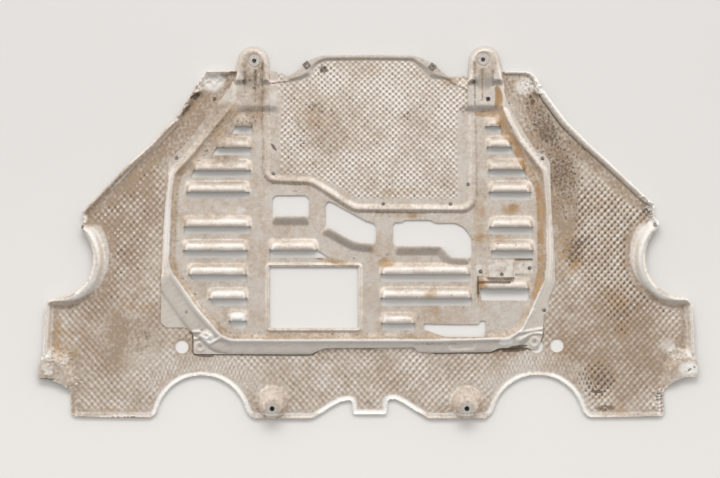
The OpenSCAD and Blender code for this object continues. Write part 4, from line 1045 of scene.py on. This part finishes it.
def weathered_sheet(name, look, dusty):
    """Aluminium sheet under road dust.

    Dust share = dusty + two noises + grime_and_shade - wear - clean, so that raised and worn places show the metal;
    grime_and_shade holds dust and painted shade. Colour runs from metal to dust, then to a pale tone for worn and
    crushed metal and painted highlights, to brown where the stain is strong, and to a dark tone on fine specks and
    where dirt_and_shade is high, which holds soiling and painted shadows. Dust makes it rougher; two fine noises are
    its bumps."""
    material, tree, shader, coords = begin(name)
    fine = noise(tree, coords, 160, 5, 0.6)
    wear, grime_and_shade = attribute(tree, "wear"), attribute(tree, "grime_and_shade")
    stain, clean, dirt_and_shade = (attribute(tree, name) for name in ("stain", "clean", "dirt_and_shade"))
    # The pale value holds worn and crushed metal and painted highlights.
    pale = calc(tree, "MULTIPLY_ADD", attribute(tree, "pale"), 1.2, calc(tree, "MULTIPLY", fine, -0.5), clamp=True)
    broad = noise(tree, coords, 17, 7, 0.68)
    grain = noise(tree, coords, 1500, 2)
    dust = calc(tree, "ADD", spread(tree, broad, 0.32, 0.68, -0.3, 0.3),
                spread(tree, fine, 0.3, 0.7, -0.2, 0.2))
    dust = calc(tree, "ADD", dust, dusty)
    dust = calc(tree, "MULTIPLY_ADD", grime_and_shade, 0.45, dust)
    dust = calc(tree, "MULTIPLY_ADD", wear, -0.6, dust)
    dust = calc(tree, "MULTIPLY_ADD", clean, -0.4, dust, clamp=True)
    colour = blend(tree, dust, tuple(look.metal), tuple(look.dust))
    colour = blend(tree, pale, colour, tuple(look.pale))
    ragged = spread(tree, noise(tree, coords, 45, 6, 0.7), 0.35, 0.62)
    ragged = calc(tree, "ADD", ragged, calc(tree, "MULTIPLY_ADD", stain, 0.7, -0.35))
    brown = calc(tree, "MULTIPLY", stain, ragged, clamp=True)
    colour = blend(tree, brown, colour, tuple(look.stain))
    torn = noise(tree, coords, 340, 4, 0.7)
    # The dark tone: fine specks, and dirt_and_shade, which holds soiling and painted shadows and shade.
    dirt_and_shade = spread(tree, calc(tree, "MULTIPLY_ADD", dirt_and_shade, 0.6, torn), 0.66, 0.96, 0, 0.8)
    specks = spread(tree, noise(tree, coords, 420, 2, 0.5), 0.66, 0.74, 0, 0.5)
    colour = blend(tree, calc(tree, "MAXIMUM", specks, dirt_and_shade), colour, tuple(look.dark))
    tree.links.new(colour, shader.inputs["Base Color"])
    rough = calc(tree, "MULTIPLY_ADD", dust, 0.28, look.roughness)
    rough = calc(tree, "MULTIPLY_ADD", brown, 0.15, rough)
    tree.links.new(rough, shader.inputs["Roughness"])
    metal = calc(tree, "MULTIPLY_ADD", dust, -0.55, 0.92)
    metal = calc(tree, "MULTIPLY_ADD", pale, -0.6, metal, clamp=True)
    tree.links.new(metal, shader.inputs["Metallic"])
    height = calc(tree, "MULTIPLY_ADD", fine, 0.6, calc(tree, "MULTIPLY", grain, 0.4))
    bump = link(tree, "ShaderNodeBump", {"Height": height, "Strength": 0.35, "Distance": 0.0006})
    tree.links.new(bump.outputs[0], shader.inputs["Normal"])
    return material


def plain_metal(name, colour, dark, roughness, scale=400.0, metallic=0.9):
    """Small bare metal: its colour mottled with a darker tone by a noise, uneven gloss, grain."""
    material, tree, shader, coords = begin(name)
    mottle = noise(tree, coords, scale, 5, 0.65)
    tree.links.new(blend(tree, spread(tree, mottle, 0.4, 0.7), colour, dark),
                   shader.inputs["Base Color"])
    tree.links.new(spread(tree, mottle, 0.3, 0.7, roughness, roughness + 0.2),
                   shader.inputs["Roughness"])
    shader.inputs["Metallic"].default_value = metallic
    bump = link(tree, "ShaderNodeBump", {"Height": mottle, "Strength": 0.3, "Distance": 0.0004})
    tree.links.new(bump.outputs[0], shader.inputs["Normal"])
    return material


def dress(piece, material, node):
    """Gives a piece its material, puts it under the root body's empty, and hides the imported node that it takes the
    place of.
    """
    piece.data.materials.append(material)
    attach(piece, "root")
    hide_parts(node)


def repaint(node, material):
    """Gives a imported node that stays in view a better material."""
    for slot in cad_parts[node].material_slots:
        slot.material = material


# Sizes and colours that can be changed


class ShieldSheets(bpy.types.PropertyGroup):
    """How finely the formed sheets are made."""

    outer_step: FloatProperty(name="Outer sheet step", description="Distance of its points, in mm",
                              default=1.85, min=1.0, max=6.0)
    plate_step: FloatProperty(name="Plate step", description="Distance of its points, in mm",
                              default=1.7, min=1.0, max=6.0)
    panel_step: FloatProperty(name="Panel step", description="Distance of its points, in mm",
                              default=1.31, min=0.8, max=6.0)


class ShieldLook(bpy.types.PropertyGroup):
    """Colours and gloss of the weathered aluminium, and of its painted highlights and shadows."""

    metal: FloatVectorProperty(name="Metal", description="Bare aluminium", subtype="COLOR",
                               default=(0.94, 0.865, 0.785), min=0, max=1)
    dust: FloatVectorProperty(name="Dust", description="Dried road dust", subtype="COLOR",
                              default=(0.44, 0.335, 0.25), min=0, max=1)
    # Also the colour of the painted highlights.
    pale: FloatVectorProperty(name="Pale metal", description="Rubbed and crushed metal",
                              subtype="COLOR", default=(0.89, 0.875, 0.85), min=0, max=1)
    stain: FloatVectorProperty(name="Stain", description="Brown stains", subtype="COLOR",
                               default=(0.59, 0.40, 0.235), min=0, max=1)
    # Also the colour of the painted shadows and shade.
    dark: FloatVectorProperty(name="Specks", description="Dark specks", subtype="COLOR",
                              default=(0.13, 0.095, 0.065), min=0, max=1)
    roughness: FloatProperty(name="Roughness", description="Roughness of the bare metal",
                             default=0.40, min=0, max=1, subtype="FACTOR")


class ShieldStage(bpy.types.PropertyGroup):
    """Camera, floor and lights."""

    height: FloatProperty(name="Camera height", description="Height of the camera over the floor",
                          default=4.0, min=1, unit="LENGTH")
    across: FloatProperty(name="Width in view", description="Width of the picture on the floor",
                          default=1.231, min=0.5, unit="LENGTH")
    floor: FloatVectorProperty(name="Floor", description="Colour of the floor", subtype="COLOR",
                               default=(0.78, 0.765, 0.75), min=0, max=1)
    key: FloatProperty(name="Key light", description="Power of the low soft light",
                       default=60.0, min=0, subtype="POWER")
    sky: FloatProperty(name="Sky", description="Strength of the even light from all round",
                       default=0.38, min=0)


# One operator for each piece or group of like pieces


class SHIELD_OT_outer_sheet(bpy.types.Operator):
    """Builds the embossed outer sheet with its rims, cones and worn relief"""

    bl_idname = "shield.outer_sheet"
    bl_label = "Outer sheet"

    def execute(self, context):
        step = context.scene.shield_sheets.outer_step
        mesh = closed_sheet(OUTER_RINGS, (step, step * 0.93), outer_form, outer_skin,
                            seeds=cone_seeds())
        piece = put_mesh("outer_sheet", *mesh)
        material = weathered_sheet("embossed_aluminium", context.scene.shield_look, 0.8)
        dress(piece, material, "outer_shield")
        return {"FINISHED"}


class SHIELD_OT_plate(bpy.types.Operator):
    """Builds the stamped plate with its louvres, windows, ridge and mounting tabs"""

    bl_idname = "shield.plate"
    bl_label = "Louvred plate"

    def execute(self, context):
        step = context.scene.shield_sheets.plate_step
        mesh = closed_sheet(PLATE_RINGS, (step, step * 0.93), plate_form, plate_skin, 3.6, low=SHEET_T)
        piece = put_mesh("stamped_plate", *mesh)
        material = weathered_sheet("plain_aluminium", context.scene.shield_look, 0.5)
        dress(piece, material, "louvre_plate")
        return {"FINISHED"}


class SHIELD_OT_panel(bpy.types.Operator):
    """Builds the finely embossed upper panel with its border and ears"""

    bl_idname = "shield.panel"
    bl_label = "Upper panel"

    def execute(self, context):
        step = context.scene.shield_sheets.panel_step
        mesh = closed_sheet(PANEL_RINGS, (step, step * 0.97), panel_form, panel_skin, low=2 * SHEET_T)
        piece = put_mesh("embossed_panel", *mesh)
        material = weathered_sheet("panel_aluminium", context.scene.shield_look, 0.6)
        dress(piece, material, "upper_panel")
        return {"FINISHED"}


class SHIELD_OT_fasteners(bpy.types.Operator):
    """Builds the blind rivets, and finishes the bracket, clips and washers of the model"""

    bl_idname = "shield.fasteners"
    bl_label = "Rivets and small pieces"

    def execute(self, context):
        steel = plain_metal("rivet_metal", (0.42, 0.40, 0.37), (0.16, 0.13, 0.10), 0.4)
        for node, places in (("plate_rivets", PLATE_RIVETS), ("panel_rivets", PANEL_RIVETS),
                             ("bracket_rivets", BRACKET_RIVETS)):
            piece = put_mesh(node + "_heads", *turned(RIVET_PROFILE, places), sharp=70)
            dress(piece, steel, node)
        repaint("bracket", plain_metal("bracket_metal", (0.86, 0.80, 0.73), (0.58, 0.49, 0.41), 0.5, 90, 0.4))
        repaint("ear_clips", plain_metal("clip_metal", (0.42, 0.39, 0.35), (0.16, 0.13, 0.10), 0.45))
        washer = plain_metal("washer_metal", (0.86, 0.83, 0.79), (0.55, 0.50, 0.45), 0.35)
        repaint("tab_washers", washer)
        repaint("cone_washers", washer)
        return {"FINISHED"}


class SHIELD_OT_stage(bpy.types.Operator):
    """Sets up the floor, the soft lights and the camera straight above the shield"""

    bl_idname = "shield.stage"
    bl_label = "Stage"

    def execute(self, context):
        scene, stage = context.scene, context.scene.shield_stage
        corners = np.array([(-9, -9, 0), (9, -9, 0), (9, 9, 0), (-9, 9, 0)], float) / MM
        floor = put_mesh("floor", corners, np.array([(0, 1, 2), (0, 2, 3)]))
        material, tree, shader, coords = begin("floor_paper")
        pale = tuple(stage.floor)
        # The floor's colour is painted lighter towards -Y and darker towards +Y, a painted fall of light across it,
        # with a slow noise in the change.
        along = link(tree, "ShaderNodeSeparateXYZ", {0: coords}).outputs["Y"]
        along = calc(tree, "MULTIPLY_ADD", noise(tree, coords, 3, 3), 0.1, along)
        tone = blend(tree, spread(tree, along, 0.5, -0.5), tuple(c * 0.93 for c in pale),
                     tuple(c * 1.12 for c in pale))
        tree.links.new(tone, shader.inputs["Base Color"])
        shader.inputs["Roughness"].default_value = 0.85
        floor.data.materials.append(material)
        world = bpy.data.worlds.new("even_light")
        world.use_nodes = True
        background = world.node_tree.nodes["Background"]
        background.inputs["Color"].default_value = (1.0, 0.985, 0.96, 1)
        nodes = world.node_tree
        way = nodes.nodes.new("ShaderNodeTexCoord").outputs["Generated"]
        way = link(nodes, "ShaderNodeSeparateXYZ", {0: way}).outputs
        way = calc(nodes, "MULTIPLY_ADD", calc(nodes, "ABSOLUTE", way["X"]), 0.55, way["Y"])
        even = spread(nodes, way, -0.45, 0.85, stage.sky * 0.55, stage.sky * 3.0)
        nodes.links.new(even, background.inputs["Strength"])
        scene.world = world
        for name, place, turn, size, power in (
            ("key_light", (0.0, 2.6, 2.4), (-0.83, 0, 0), (3.0, 1.2), stage.key),
            ("fill_light", (-1.5, -1.6, 2.6), (0.5, -0.4, 0), (2.0, 2.0), stage.key * 0.06),
        ):
            lamp = bpy.data.lights.new(name, "AREA")
            lamp.shape, lamp.energy = "RECTANGLE", power
            lamp.size, lamp.size_y = size
            light = bpy.data.objects.new(name, lamp)
            light.location, light.rotation_euler = place, turn
            light.visible_glossy = False
            context.collection.objects.link(light)
        eye = bpy.data.cameras.new("camera")
        eye.lens = eye.sensor_width * stage.height / stage.across
        camera = bpy.data.objects.new("camera", eye)
        camera.location = (-0.0137, -0.0108, stage.height)
        context.collection.objects.link(camera)
        scene.camera = camera
        scene.view_settings.view_transform = "Standard"
        return {"FINISHED"}


OPERATORS = (SHIELD_OT_stage, SHIELD_OT_outer_sheet, SHIELD_OT_plate, SHIELD_OT_panel,
             SHIELD_OT_fasteners)


class SHIELD_PT_pieces(bpy.types.Panel):
    """Lists the pieces that can be built"""

    bl_idname = "SHIELD_PT_pieces"
    bl_label = "Underbody shield"
    bl_space_type = "VIEW_3D"
    bl_region_type = "UI"
    bl_category = "Shield"

    def draw(self, context):
        layout, scene = self.layout, context.scene
        for operator in OPERATORS:
            layout.operator(operator.bl_idname)
        for group in (scene.shield_sheets, scene.shield_look, scene.shield_stage):
            box = layout.box()
            for name in group.bl_rna.properties.keys():
                if name not in ("rna_type", "name"):
                    box.prop(group, name)


CLASSES = (ShieldSheets, ShieldLook, ShieldStage, *OPERATORS, SHIELD_PT_pieces)


def register():
    """Registers the classes and the sizes and colours they read."""
    for cls in CLASSES:
        bpy.utils.register_class(cls)
    bpy.types.Scene.shield_sheets = PointerProperty(type=ShieldSheets)
    bpy.types.Scene.shield_look = PointerProperty(type=ShieldLook)
    bpy.types.Scene.shield_stage = PointerProperty(type=ShieldStage)


def unregister():
    """Takes the classes and their values away again."""
    del bpy.types.Scene.shield_sheets, bpy.types.Scene.shield_look, bpy.types.Scene.shield_stage
    for cls in reversed(CLASSES):
        bpy.utils.unregister_class(cls)


def main():
    """Builds everything."""
    register()
    bpy.ops.shield.stage()
    bpy.ops.shield.outer_sheet()
    bpy.ops.shield.plate()
    bpy.ops.shield.panel()
    bpy.ops.shield.fasteners()


if __name__ == "__main__":
    main()
